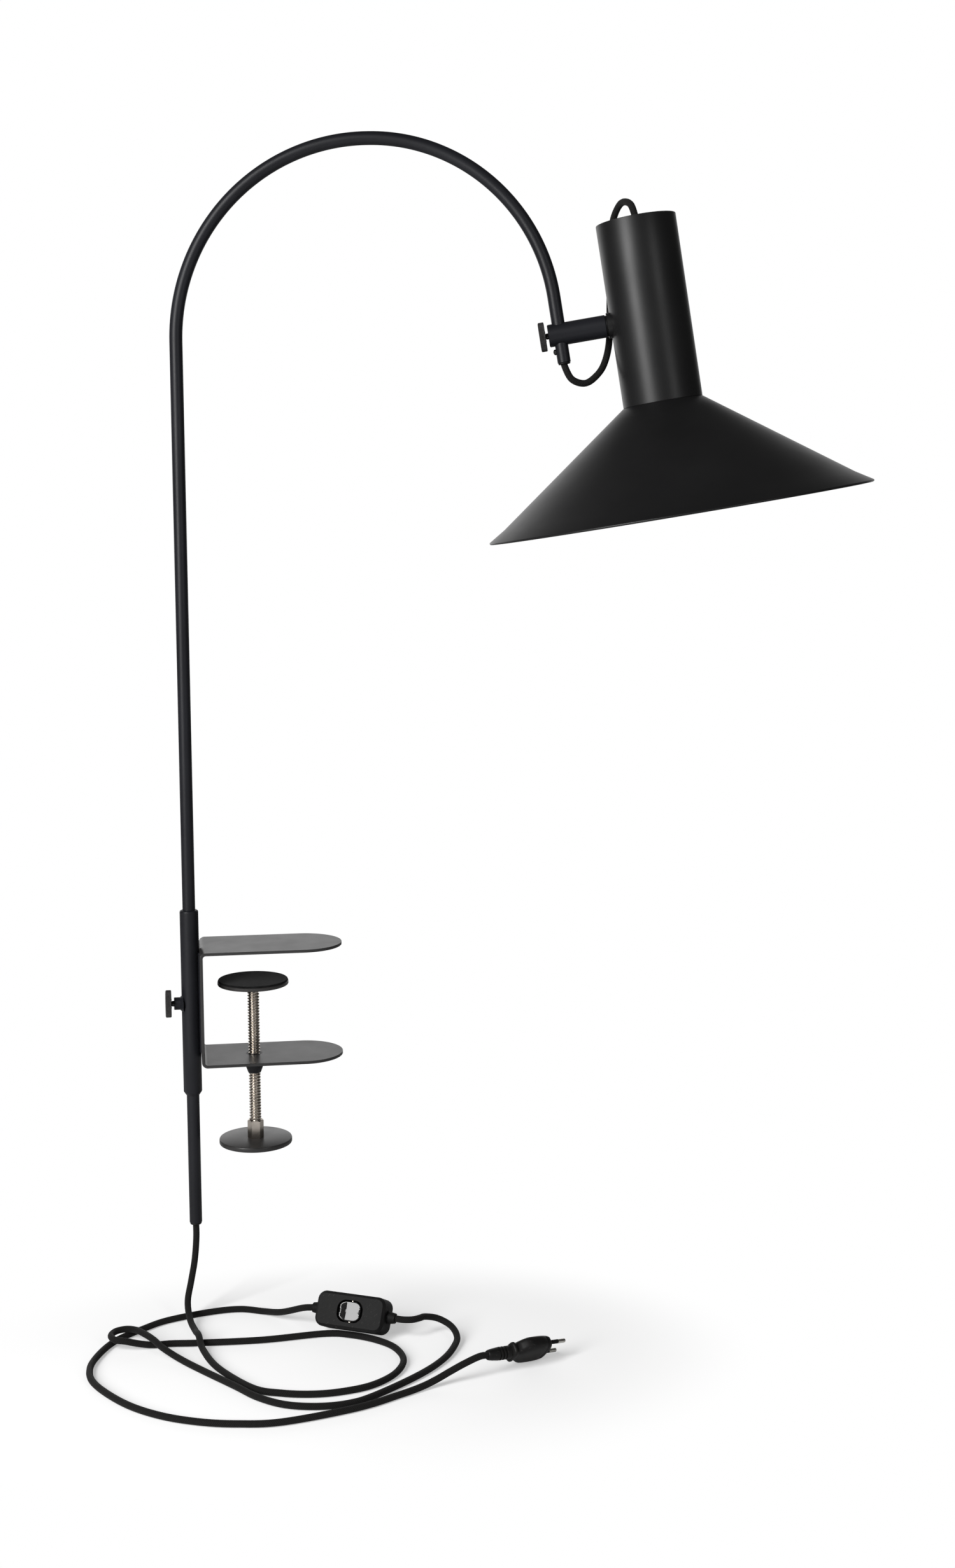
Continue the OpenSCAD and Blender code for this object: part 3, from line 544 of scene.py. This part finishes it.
LEAD_B = [
    (53.8, -46.9, 22.3), (43, -41, 20), (22, -22, 9), (5, -4, 3.5), (-20, 6, 3.5),
    (-52, 3, 3.5), (-94, -11, 3.5), (-118, -28, 3.5), (-144, -52, 3.5), (-160, -82, 3.5),
    (-168, -115, 3.5), (-162, -150, 3.5), (-134, -195, 3.5), (-102, -225, 3.5),
    (-67, -244, 3.5), (-32, -254, 3.5), (10, -257, 3.5), (79, -240, 3.5), (122, -219, 3.5),
    (143, -208, 4.2), (158, -202, 7.5), (172, -198.5, 13), (186, -196.5, 19),
    (201.6, -192.3, 23.3), (211.4, -187.9, 22.1),
]
# From the tube's end round under the arm to the shade's cap, in the head's own directions.
HEAD_LEAD = [
    (0, 0, -24), (0, 0, -31), (4.9, 2.1, -43.7), (16.6, 7, -49), (28.3, 12, -43.7),
    (38, 17, -33), (46, 23, -13), (52, 31, 20), (58, 37, 58), (63, 38, 83), (68.5, 30.5, 102),
    (77, 16, 112.6), (84.7, 3, 109), (87.4, -1.5, 97), (87.4, -1.35, 86),
]
# It is two pieces, which meet at this point of the route. SWIVEL_FREE and TILT_FREE are paired with each piece's
# two bodies below, and are not used further.
HEAD_LEAD_SPLIT, TILT_FREE = 4, 7
SWIVEL_FREE = (15.0, 6.0, 0.0)


def smooth_path(points, step=0.002):
    """A centripetal curve through the points, resampled evenly. Points in metres."""
    points = [Vector(p) for p in points]
    ends = [2 * points[0] - points[1]] + points + [2 * points[-1] - points[-2]]
    dense = []
    for a, b, c, d in zip(ends, ends[1:], ends[2:], ends[3:]):
        for k in range(16):
            t = k / 16
            dense.append(
                0.5 * (2 * b + (c - a) * t + (2 * a - 5 * b + 4 * c - d) * t * t
                       + (3 * b - a - 3 * c + d) * t * t * t)
            )
    dense.append(points[-1])
    lengths = [0.0]
    for p, q in zip(dense, dense[1:]):
        lengths.append(lengths[-1] + (q - p).length)
    count = max(2, round(lengths[-1] / step))
    out, i = [], 0
    for n in range(count + 1):
        want = lengths[-1] * n / count
        while i < len(dense) - 2 and lengths[i + 1] < want:
            i += 1
        gap = lengths[i + 1] - lengths[i]
        out.append(dense[i].lerp(dense[i + 1], (want - lengths[i]) / gap if gap else 0))
    return out


def lead_piece(name, path, sides=14):
    """A round tube along a path, with its length in millimetres in the UV map."""
    radius = CORD_D / 2000
    verts, uvs = [], []
    across = (path[1] - path[0]).normalized().orthogonal().normalized()
    travelled = 0.0
    for i, p in enumerate(path):
        ahead = (path[min(i + 1, len(path) - 1)] - path[max(i - 1, 0)]).normalized()
        across = (across - ahead * across.dot(ahead)).normalized()
        up = ahead.cross(across)
        if i:
            travelled += (p - path[i - 1]).length * 1000
        for k in range(sides + 1):
            a = TAU * k / sides
            verts.append(p + radius * (math.cos(a) * across + math.sin(a) * up))
            uvs.append((travelled, k / sides))
    # the first and last point of each row coincide, so that the UV map has a seam
    row = sides + 1
    faces = [
        (i * row + k, i * row + k + 1, (i + 1) * row + k + 1, (i + 1) * row + k)
        for i in range(len(path) - 1) for k in range(sides)
    ]
    return new_piece(name, verts, faces, "textile_black", uvs=uvs)


def on_floor(route):
    return [mm(x, y, h - FLOOR_DROP) for x, y, h in route]


def add_floor_leads(soft, plug_pieces, rocker_pieces):
    """The lead from the mast to the switch, and on to the plug."""
    path = smooth_path(on_floor(LEAD_A))
    lead = lead_piece("lead_to_switch", path)
    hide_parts("lead_a")
    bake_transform(lead)
    path = smooth_path(on_floor(LEAD_B))
    lead = lead_piece("lead_to_plug", path)
    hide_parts("lead_b")
    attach(lead, "clamp")


def add_head_leads():
    """The lead from the tube's end to the shade's cap, in two pieces."""
    route = [HEAD @ mm(*p) for p in HEAD_LEAD]
    whole = smooth_path(route)
    cut = min(range(len(whole)), key=lambda i: (whole[i] - route[HEAD_LEAD_SPLIT]).length)
    low, high = whole[: cut + 1], whole[cut:]
    for name, path, bodies, start, end in (
        ("lead_under_arm", low, ("mast", "head_arm"), HEAD.translation, HEAD @ mm(*SWIVEL_FREE)),
        ("lead_to_cap", high, ("head_arm", "shade"), high[0], route[TILT_FREE]),
    ):
        piece = lead_piece(name, path)
        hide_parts("head_lead")
        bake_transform(piece)


# ---- tube, sleeve and clamp ----

# The mast's axis, and the turn of the arch about it in degrees.
MAST_X, ARCH_SWING = -62.8, -12
MAST_PLACE = Matrix.Translation(mm(MAST_X, 0, 0))
MAST = MAST_PLACE @ Matrix.Rotation(math.radians(ARCH_SWING), 4, "Z")
# Where the arch begins, its rear bend, the straight between the bends, and its front bend.
MAST_RISE, REAR_BEND_R, CROWN, FRONT_BEND_R = 599.5, 187.8, 2.0, 178.2
# The tube's end: degrees from the vertical, length down to the arm's axis and beyond it.
HEAD_TILT, TAIL_LEN, TAIL_PAST = 9.3, 35.0, 27.0
MAST_DROP, MAST_D, MAST_BORE = 287.0, 12.7, 9.7
MAST_EDGE = 0.4
SLEEVE_D, SLEEVE_TOP, SLEEVE_LEN, SLEEVE_LIP_R = 18.6, 39.5, 191.0, 1.9
# Height of the sleeve's screw, what its boss and the arm's end reach past their axes, and
# the bare thread before a knob.
SCREW_Z, BOSS_REACH, ARM_TAIL, STUD_SHOW = -56.5, 16.9, 11.1, 2.4
KNOB_D, KNOB_T = 27.6, 6.2
KNURLS, KNURL_DEPTH = 72, 0.4
THREAD_D, THREAD_ROOT, THREAD_PITCH = 12.0, 9.5, 3.0
ROD_GAP = 0.1


def arc_rows(centre_x, centre_z, radius, start, sweep, steps=60):
    """Rows of x, z and outward angle along a bend."""
    rows = []
    for i in range(steps + 1):
        a = start + sweep * i / steps
        turn = math.radians(a)
        rows.append((centre_x + radius * math.cos(turn), centre_z + radius * math.sin(turn), a))
    return rows


def arch_path():
    """The tube's centre line in millimetres, with the outward direction in the arch's plane."""
    heights = (-MAST_DROP, -MAST_DROP + MAST_EDGE, -200, -100, 0, 200, 400, 560)
    rows = [(0, z, 180) for z in heights]
    rows += arc_rows(REAR_BEND_R, MAST_RISE, REAR_BEND_R, 180, -90)
    rows += arc_rows(
        REAR_BEND_R + CROWN, MAST_RISE + REAR_BEND_R - FRONT_BEND_R, FRONT_BEND_R,
        90, HEAD_TILT - 90,
    )
    x, z, a = rows[-1]
    tilt = math.radians(HEAD_TILT)
    tail_end = TAIL_LEN + TAIL_PAST
    for run in (TAIL_LEN, tail_end - MAST_EDGE, tail_end):
        rows.append((x + run * math.sin(tilt), z - run * math.cos(tilt), a))
    return rows


def add_mast():
    """One smooth bent tube, open at both ends, with eased rims."""
    rows = arch_path()
    wall, bore, mouth = MAST_D / 2, MAST_BORE / 2, 14
    # place on the centre line, radius, and how far inside the lower end
    rings = [(rows[0], bore, mouth), (rows[0], bore, 0), (rows[0], wall - MAST_EDGE, 0)]
    rings += [(row, wall, 0) for row in rows[1:-1]]
    rings += [(rows[-1], wall - MAST_EDGE, 0), (rows[-1], bore, 0), (rows[-2], bore, 0)]
    sides = 64
    verts = []
    for (x, z, a), radius, inwards in rings:
        out = Vector((math.cos(math.radians(a)), 0, math.sin(math.radians(a))))
        for k in range(sides):
            t = TAU * k / sides
            around = math.cos(t) * out + Vector((0, math.sin(t), 0))
            verts.append(MAST @ ((Vector((x, 0, z + inwards)) + radius * around) * 0.001))
    tube = sharpen(new_piece("bent_tube", verts, ring_faces(len(rings), sides), "powder_black"))
    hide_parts("mast_tube")
    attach(tube, "mast")


def add_sleeve():
    """The sleeve: a chamfered lower end and a rounded upper lip."""
    low = SLEEVE_TOP - SLEEVE_LEN
    r, bore, mouth = SLEEVE_D / 2, MAST_D / 2 + 0.1, 8
    profile = [(bore, low + mouth), (bore, low), (bore + 0.6, low)]
    profile += [(r - 0.35, low + 2.9), (r, low + 3.6)]
    profile += [(r, z) for z in (low + 60, low + 120, SLEEVE_TOP - 2.4)]
    for degrees in (0, 20, 40, 60, 80):
        a = math.radians(degrees)
        profile.append((
            r - SLEEVE_LIP_R * (1 - math.cos(a)), SLEEVE_TOP - SLEEVE_LIP_R * (1 - math.sin(a))
        ))
    profile += [(bore, SLEEVE_TOP), (bore, SLEEVE_TOP - mouth)]
    sleeve = lathe("sleeve_tube", profile, MAST_PLACE, "powder_black", caps=False)
    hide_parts("mast_sleeve")
    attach(sleeve, "clamp")


def add_knobs():
    """Thumb screws with a straight fine knurl and a shallow dish in the outer face."""
    r, t = KNOB_D / 2, KNOB_T
    inner = [(0.01, 0), (5, 0), (5.4, 0.2), (r - 1.2, 0.2), (r - 0.6, 0.25), (r - 0.15, 0.6)]
    rim = [(r, 1.0), (r, 2.0), (r, t - 2.0), (r, t - 1.0)]
    outer = [
        (r - 0.15, t - 0.6), (r - 0.6, t - 0.2), (r - 1.2, t), (r - 3.4, t), (r - 3.8, t - 0.5),
        (0.01, t - 0.5),
    ]
    rim_rows = range(len(inner), len(inner) + len(rim))
    for node, body, on, reach in (
        ("sleeve_knob", "sleeve_screw", MAST_PLACE @ Matrix.Translation(mm(0, 0, SCREW_Z)),
         BOSS_REACH),
        ("head_knob", "head_screw", HEAD, ARM_TAIL),
    ):
        place = along_x(on, -reach - STUD_SHOW) @ Matrix.Rotation(math.pi, 4, "X")
        knob = lathe(
            node + "_knurled", inner + rim + outer, place, "wheel_steel", sides=4 * KNURLS,
            ribs=KNURLS, rib_depth=KNURL_DEPTH, rib_rows=rim_rows,
        )
        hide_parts(node)
        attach(knob, body)


def add_spindle():
    """A trapezoid thread over the whole rod, which runs out at both ends."""
    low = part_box("spindle_rod")[0][2] * 1000
    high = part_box("pad_hub")[0][2] * 1000 - ROD_GAP
    root, depth = THREAD_ROOT / 2, (THREAD_D - THREAD_ROOT) / 2
    sides, per_turn = 40, 8
    rows = int((high - low) / THREAD_PITCH * per_turn)
    verts = []
    for i in range(rows + 1):
        z = low + (high - low) * i / rows
        fade = min(1.0, i / per_turn, (rows - i) / per_turn)
        for k in range(sides):
            a = TAU * k / sides
            phase = (z / THREAD_PITCH - a / TAU) % 1.0
            crest = min(1.0, max(0.0, 1.7 - 4.2 * abs(phase - 0.5)))
            r = root + depth * crest * fade
            verts.append(mm(r * math.cos(a), r * math.sin(a), z))
    faces = ring_faces(rows + 1, sides) + [first_face(sides), last_face(rows + 1, sides)]
    thread = sharpen(new_piece("spindle_thread", verts, faces, "bare_steel"), 50)
    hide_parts("spindle_rod")
    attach(thread, "spindle")


def disc_size(node):
    """Radius, lowest and highest point, in millimetres, of a disc on the spindle's axis."""
    (_, _, low), (wide, _, high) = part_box(node)
    return wide * 1000, low * 1000, high * 1000


def add_discs():
    """Hand wheel, pad and felt: turned discs with eased edges."""
    spindle = Matrix.Identity(4)
    r, low, high = disc_size("hand_wheel")
    bore, seat = 3.1, 9.5
    wheel = lathe("turned_wheel", [
        (bore, low), (r - 0.9, low), (r - 0.25, low + 0.25), (r, low + 0.9), (r, high - 1.1),
        (r - 0.3, high - 0.3), (r - 1.1, high), (seat, high), (bore, high),
    ], spindle, "wheel_steel", caps=False)
    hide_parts("hand_wheel")
    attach(wheel, "spindle")
    r, low, high = disc_size("pad_disc")
    bore = 4.0
    disc = lathe("pad_dish", [
        (bore, low), (r - 1.1, low), (r - 0.35, low + 0.3), (r, low + 1.0),
        (r, high - 0.5), (r - 0.5, high), (bore, high),
    ], spindle, "wheel_steel", caps=False)
    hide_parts("pad_disc")
    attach(disc, "pad_lift")
    r, low, high = disc_size("pad_felt")
    felt_pad = lathe("pad_cloth", [
        (0.01, low), (r, low), (r + 0.1, low + 0.5), (r - 0.2, high - 0.5), (r - 0.8, high),
        (r * 0.6, high), (0.01, high),
    ], spindle, "felt_black")
    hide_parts("pad_felt")
    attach(felt_pad, "pad_lift")


# ---- shade ----

# The cylinder's diameter, what it reaches above and below the arm's axis, and the sheet.
NECK_D, NECK_UP, NECK_DOWN, SHEET = 76.4, 92.6, 79.7, 1.2
# The cone's height, its rim's diameter, and the thickness of the rolled edge.
CONE_H, RIM_D, RIM_LIP = 107.0, 372.6, 2.4
COLLAR_H, COLLAR_GAP = 8, 1.3


def between(a, b, steps):
    """Points that part the straight from a to b into equal steps, without its ends."""
    return [
        (a[0] + (b[0] - a[0]) * i / steps, a[1] + (b[1] - a[1]) * i / steps)
        for i in range(1, steps)
    ]


def add_neck():
    """The cylinder: sheet metal with a rounded upper edge."""
    r, inside = NECK_D / 2, NECK_D / 2 - SHEET
    neck = lathe("shade_cylinder", [
        (inside, -NECK_DOWN), (r - 0.25, -NECK_DOWN), (r, -NECK_DOWN + 0.3), (r, -30), (r, 40),
        (r, NECK_UP - 0.6), (r - 0.2, NECK_UP - 0.15), (r - 0.6, NECK_UP),
        (r - 1.0, NECK_UP - 0.15), (inside, NECK_UP - 0.6), (inside, 40), (inside, -30),
        (inside, -NECK_DOWN),
    ], SHADE, "shade_black", sides=192, caps=False)
    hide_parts("shade_neck")
    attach(neck, "shade")


def add_cone():
    """The spun cone: a collar inside the cylinder, a thin skin and a rolled rim."""
    r, rim_r, lip = NECK_D / 2, RIM_D / 2, RIM_LIP / 2
    top, low = -NECK_DOWN, -NECK_DOWN - CONE_H
    collar = r - COLLAR_GAP
    slope = (rim_r - r) / CONE_H
    lean = math.atan(slope)
    skin = SHEET / math.cos(lean)
    edge = rim_r - lip - 0.6 * slope
    start = collar - SHEET, top + COLLAR_H
    profile = [start, (collar, top + COLLAR_H), (collar, top), (r - 0.1, top)]
    shoulder = r + 0.5, top - 0.25
    profile.append(shoulder)
    profile += between(shoulder, (edge, shoulder[1] - (edge - shoulder[0]) / slope), 10)
    for turned in range(0, 271, 30):
        a = math.pi / 2 - lean + math.radians(30 - turned)
        profile.append((rim_r - lip + lip * math.cos(a), low + lip + lip * math.sin(a)))
    throat = r - 2.0, top - 2.4
    profile += between(
        throat, (edge - skin, throat[1] - (edge - skin - throat[0]) / slope), 10
    )[::-1]
    profile += [(collar - SHEET, top - 1.5), start]
    cone = lathe("shade_skirt", profile, SHADE, "shade_black", sides=256, caps=False)
    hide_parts("shade_cone")
    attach(cone, "shade")


# ---- switch rocker ----

SWITCH_CENTRE = (93.2, -67.7, 22.3 - FLOOR_DROP)
SWITCH = (
    Matrix.Translation(mm(*SWITCH_CENTRE)) @ Matrix.Rotation(math.radians(-28), 4, "Z")
    @ Matrix.Rotation(math.radians(62), 4, "X")
)
# The rocker's axle lies this far in front of the switch's centre, and it rests on one half.
ROCKER_OUT, ROCKER_REST = 9, 5
ROCKER = (
    SWITCH @ Matrix.Translation(mm(0, 0, ROCKER_OUT))
    @ Matrix.Rotation(math.radians(ROCKER_REST), 4, "Y")
)
ROCKER_LEN, ROCKER_W, ROCKER_CORNER = 25.0, 19.4, 9.0
# Height of the valley between its two halves, and their slope in degrees.
VALLEY_HEIGHT, VALLEY_TILT = 5.9, 4.5
# A moulded bar on the half that switches on: its sides in x and in y, and its depth.
TICK = 8.2, 10.4, -0.9, -0.4
TICK_FROM, TICK_TO = -0.2, 0.06


def rocker_height(x):
    """Two flat halves in a shallow valley, rounded over at both ends."""
    valley = VALLEY_HEIGHT + math.tan(math.radians(VALLEY_TILT)) * math.sqrt(x * x + 0.3)
    return min(valley, math.sqrt(max(0.0, (ROCKER_LEN / 2) ** 2 - x * x)))


def rocker_ring(inset, sides):
    """Points of the rounded outline, moved in by inset, one for each direction."""
    corner = max(0.3, ROCKER_CORNER - inset)
    across = ROCKER_LEN / 2 - inset - corner, ROCKER_W / 2 - inset - corner
    points = []
    for k in range(sides):
        a = TAU * (k + 0.5) / sides
        points.append((
            math.copysign(across[0], math.cos(a)) + corner * math.cos(a),
            math.copysign(across[1], math.sin(a)) + corner * math.sin(a),
        ))
    return points


def add_rocker():
    """The glossy rocker: skirt, rounded edge, and rings that close in on its middle."""
    sides = 96
    rings = [(1.6, -8.5), (1.6, -6.0), (0.0, -1.3), (0.12, -0.6), (0.4, -0.2), (0.9, 0.0)]
    rings += [(inset, 0.0) for inset in (1.6, 2.4, 3.4, 4.6, 6.0, 7.4, 8.6)]
    verts = [
        ROCKER @ mm(x, y, rocker_height(x) + drop)
        for inset, drop in rings for x, y in rocker_ring(inset, sides)
    ]
    faces = ring_faces(len(rings), sides) + [first_face(sides)]
    # the innermost ring is filled with strips across, from one end to the other
    last = (len(rings) - 1) * sides
    quarter, half = sides // 4, sides // 2
    for k in range(half - 1):
        a, b = last + (k - quarter) % sides, last + (k + 1 - quarter) % sides
        c, d = last + (half + quarter - 2 - k) % sides, last + (half + quarter - 1 - k) % sides
        faces.append((a, b, c, d))
    rocker = sharpen(new_piece("rocker_cap", verts, faces, "rocker_gloss"), 40)
    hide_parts("switch_rocker")
    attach(rocker, "rocker")
    x0, x1, y0, y1 = TICK
    verts = [
        ROCKER @ mm(x, y, rocker_height(x) + h)
        for h in (TICK_FROM, TICK_TO) for x, y in ((x0, y0), (x1, y0), (x1, y1), (x0, y1))
    ]
    faces = [(0, 3, 2, 1), (4, 5, 6, 7)]
    faces += [(i, (i + 1) % 4, (i + 1) % 4 + 4, i + 4) for i in range(4)]
    tick = new_piece("rocker_tick", verts, faces, "plastic_black", smooth=False)
    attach(tick, "rocker")
    return [rocker, tick]


# ---- plug ----

PLUG_START = (209.6, -188.7, 22.3 - FLOOR_DROP)
PLUG = (
    Matrix.Translation(mm(*PLUG_START)) @ Matrix.Rotation(math.radians(24), 4, "Z")
    @ Matrix.Rotation(math.radians(7), 4, "Y") @ Matrix.Rotation(math.radians(132), 4, "X")
)
# Distance from the lead's end, half width and half thickness of the moulded body.
PLUG_SECTIONS = [
    (26.0, 8.6, 6.2), (26.5, 9.9, 6.9), (27.6, 10.6, 7.3), (28.8, 10.5, 7.3), (30.2, 9.4, 6.6),
    (32.0, 9.4, 6.5), (35.0, 12.0, 6.9), (38.5, 15.2, 7.2), (42.0, 17.1, 7.4), (45.0, 17.6, 7.5),
    (52.0, 17.6, 7.5), (57.0, 17.2, 7.5), (61.8, 16.3, 7.4), (62.2, 15.8, 7.0), (62.8, 15.7, 7.0),
    (63.2, 15.9, 7.3), (66.0, 14.9, 7.0), (67.4, 14.2, 6.5), (68.0, 13.2, 5.7),
]
# How square a section is across its width and its thickness: 1 is an ellipse.
PLUG_SQUARE = 0.55, 0.65
RELIEF_LEN, RELIEF_RINGS = 26.0, (12.0, 15.6, 19.2)
RELIEF_THIN, RELIEF_THICK, RELIEF_TAPER, RELIEF_CUT = 4.7, 6.4, 10, 1.2


def relief_radius(x):
    return RELIEF_THIN + (RELIEF_THICK - RELIEF_THIN) * min(1.0, x / RELIEF_TAPER)


def add_relief():
    """The ringed relief: a sleeve on the lead that widens to the plug."""
    bore = CORD_D / 2 + 0.05
    profile = [(bore, 10), (bore, 0), (4.1, 0), (4.6, 0.4)]
    profile += [(relief_radius(x), x) for x in (1.5, 5)]
    for x in RELIEF_RINGS:
        outer = relief_radius(x)
        profile += [
            (outer - 0.15, x - 0.35), (outer - RELIEF_CUT, x), (outer - RELIEF_CUT, x + 0.9),
            (outer - 0.15, x + 1.25), (outer, x + 1.8),
        ]
    end = RELIEF_LEN + 0.3
    profile += [(RELIEF_THICK, end), (0.01, end), (0.01, 10)]
    relief = lathe("plug_sleeve", profile, along_x(PLUG, 0), "rubber_black", caps=False)
    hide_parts("plug_relief")
    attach(relief, "clamp")
    return relief


def add_plug():
    """The moulded two-pin body, waisted behind its shoulders, and its relief."""
    sides = 64
    verts = []
    for x, wide, thick in PLUG_SECTIONS:
        for k in range(sides):
            a = TAU * k / sides
            c, s = math.cos(a), math.sin(a)
            y = wide * math.copysign(abs(c) ** PLUG_SQUARE[0], c)
            z = thick * math.copysign(abs(s) ** PLUG_SQUARE[1], s)
            verts.append(PLUG @ mm(x, y, z))
    rings = len(PLUG_SECTIONS)
    faces = ring_faces(rings, sides) + [first_face(sides), last_face(rings, sides)]
    body = sharpen(new_piece("plug_moulding", verts, faces, "rubber_black"), 50)
    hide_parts("plug_body")
    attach(body, "clamp")
    return [body, add_relief()]


# ---- softened copies of CAD solids ----

# How far each node's edges are broken, in millimetres.
SOFT_EDGES = {
    "clamp_bracket": 0.35, "screw_boss": 0.4, "spindle_bush": 0.5, "coupling_nut": 0.35,
    "arm_bar": 0.3, "arm_washer": 0.3, "pad_hub": 0.4, "saddle": 0.3, "top_cap": 0.3,
    "lead_gland": 0.4, "holder_cup": 0.5, "holder_ring": 0.5, "mast_bush": 0.3, "cord_grip": 0.3,
    "grip_screw": 0.2, "switch_base": 0.9, "switch_cover": 0.9,
}


def add_softened():
    return {node: softened(node, width) for node, width in SOFT_EDGES.items()}


bpy.context.scene.view_settings.view_transform = "Standard"
add_camera()
add_world()
add_floor()
add_lamps()
dress_frame()
add_floor_leads(add_softened(), add_plug(), add_rocker())
add_head_leads()
add_mast()
add_sleeve()
add_knobs()
add_spindle()
add_discs()
add_neck()
add_cone()
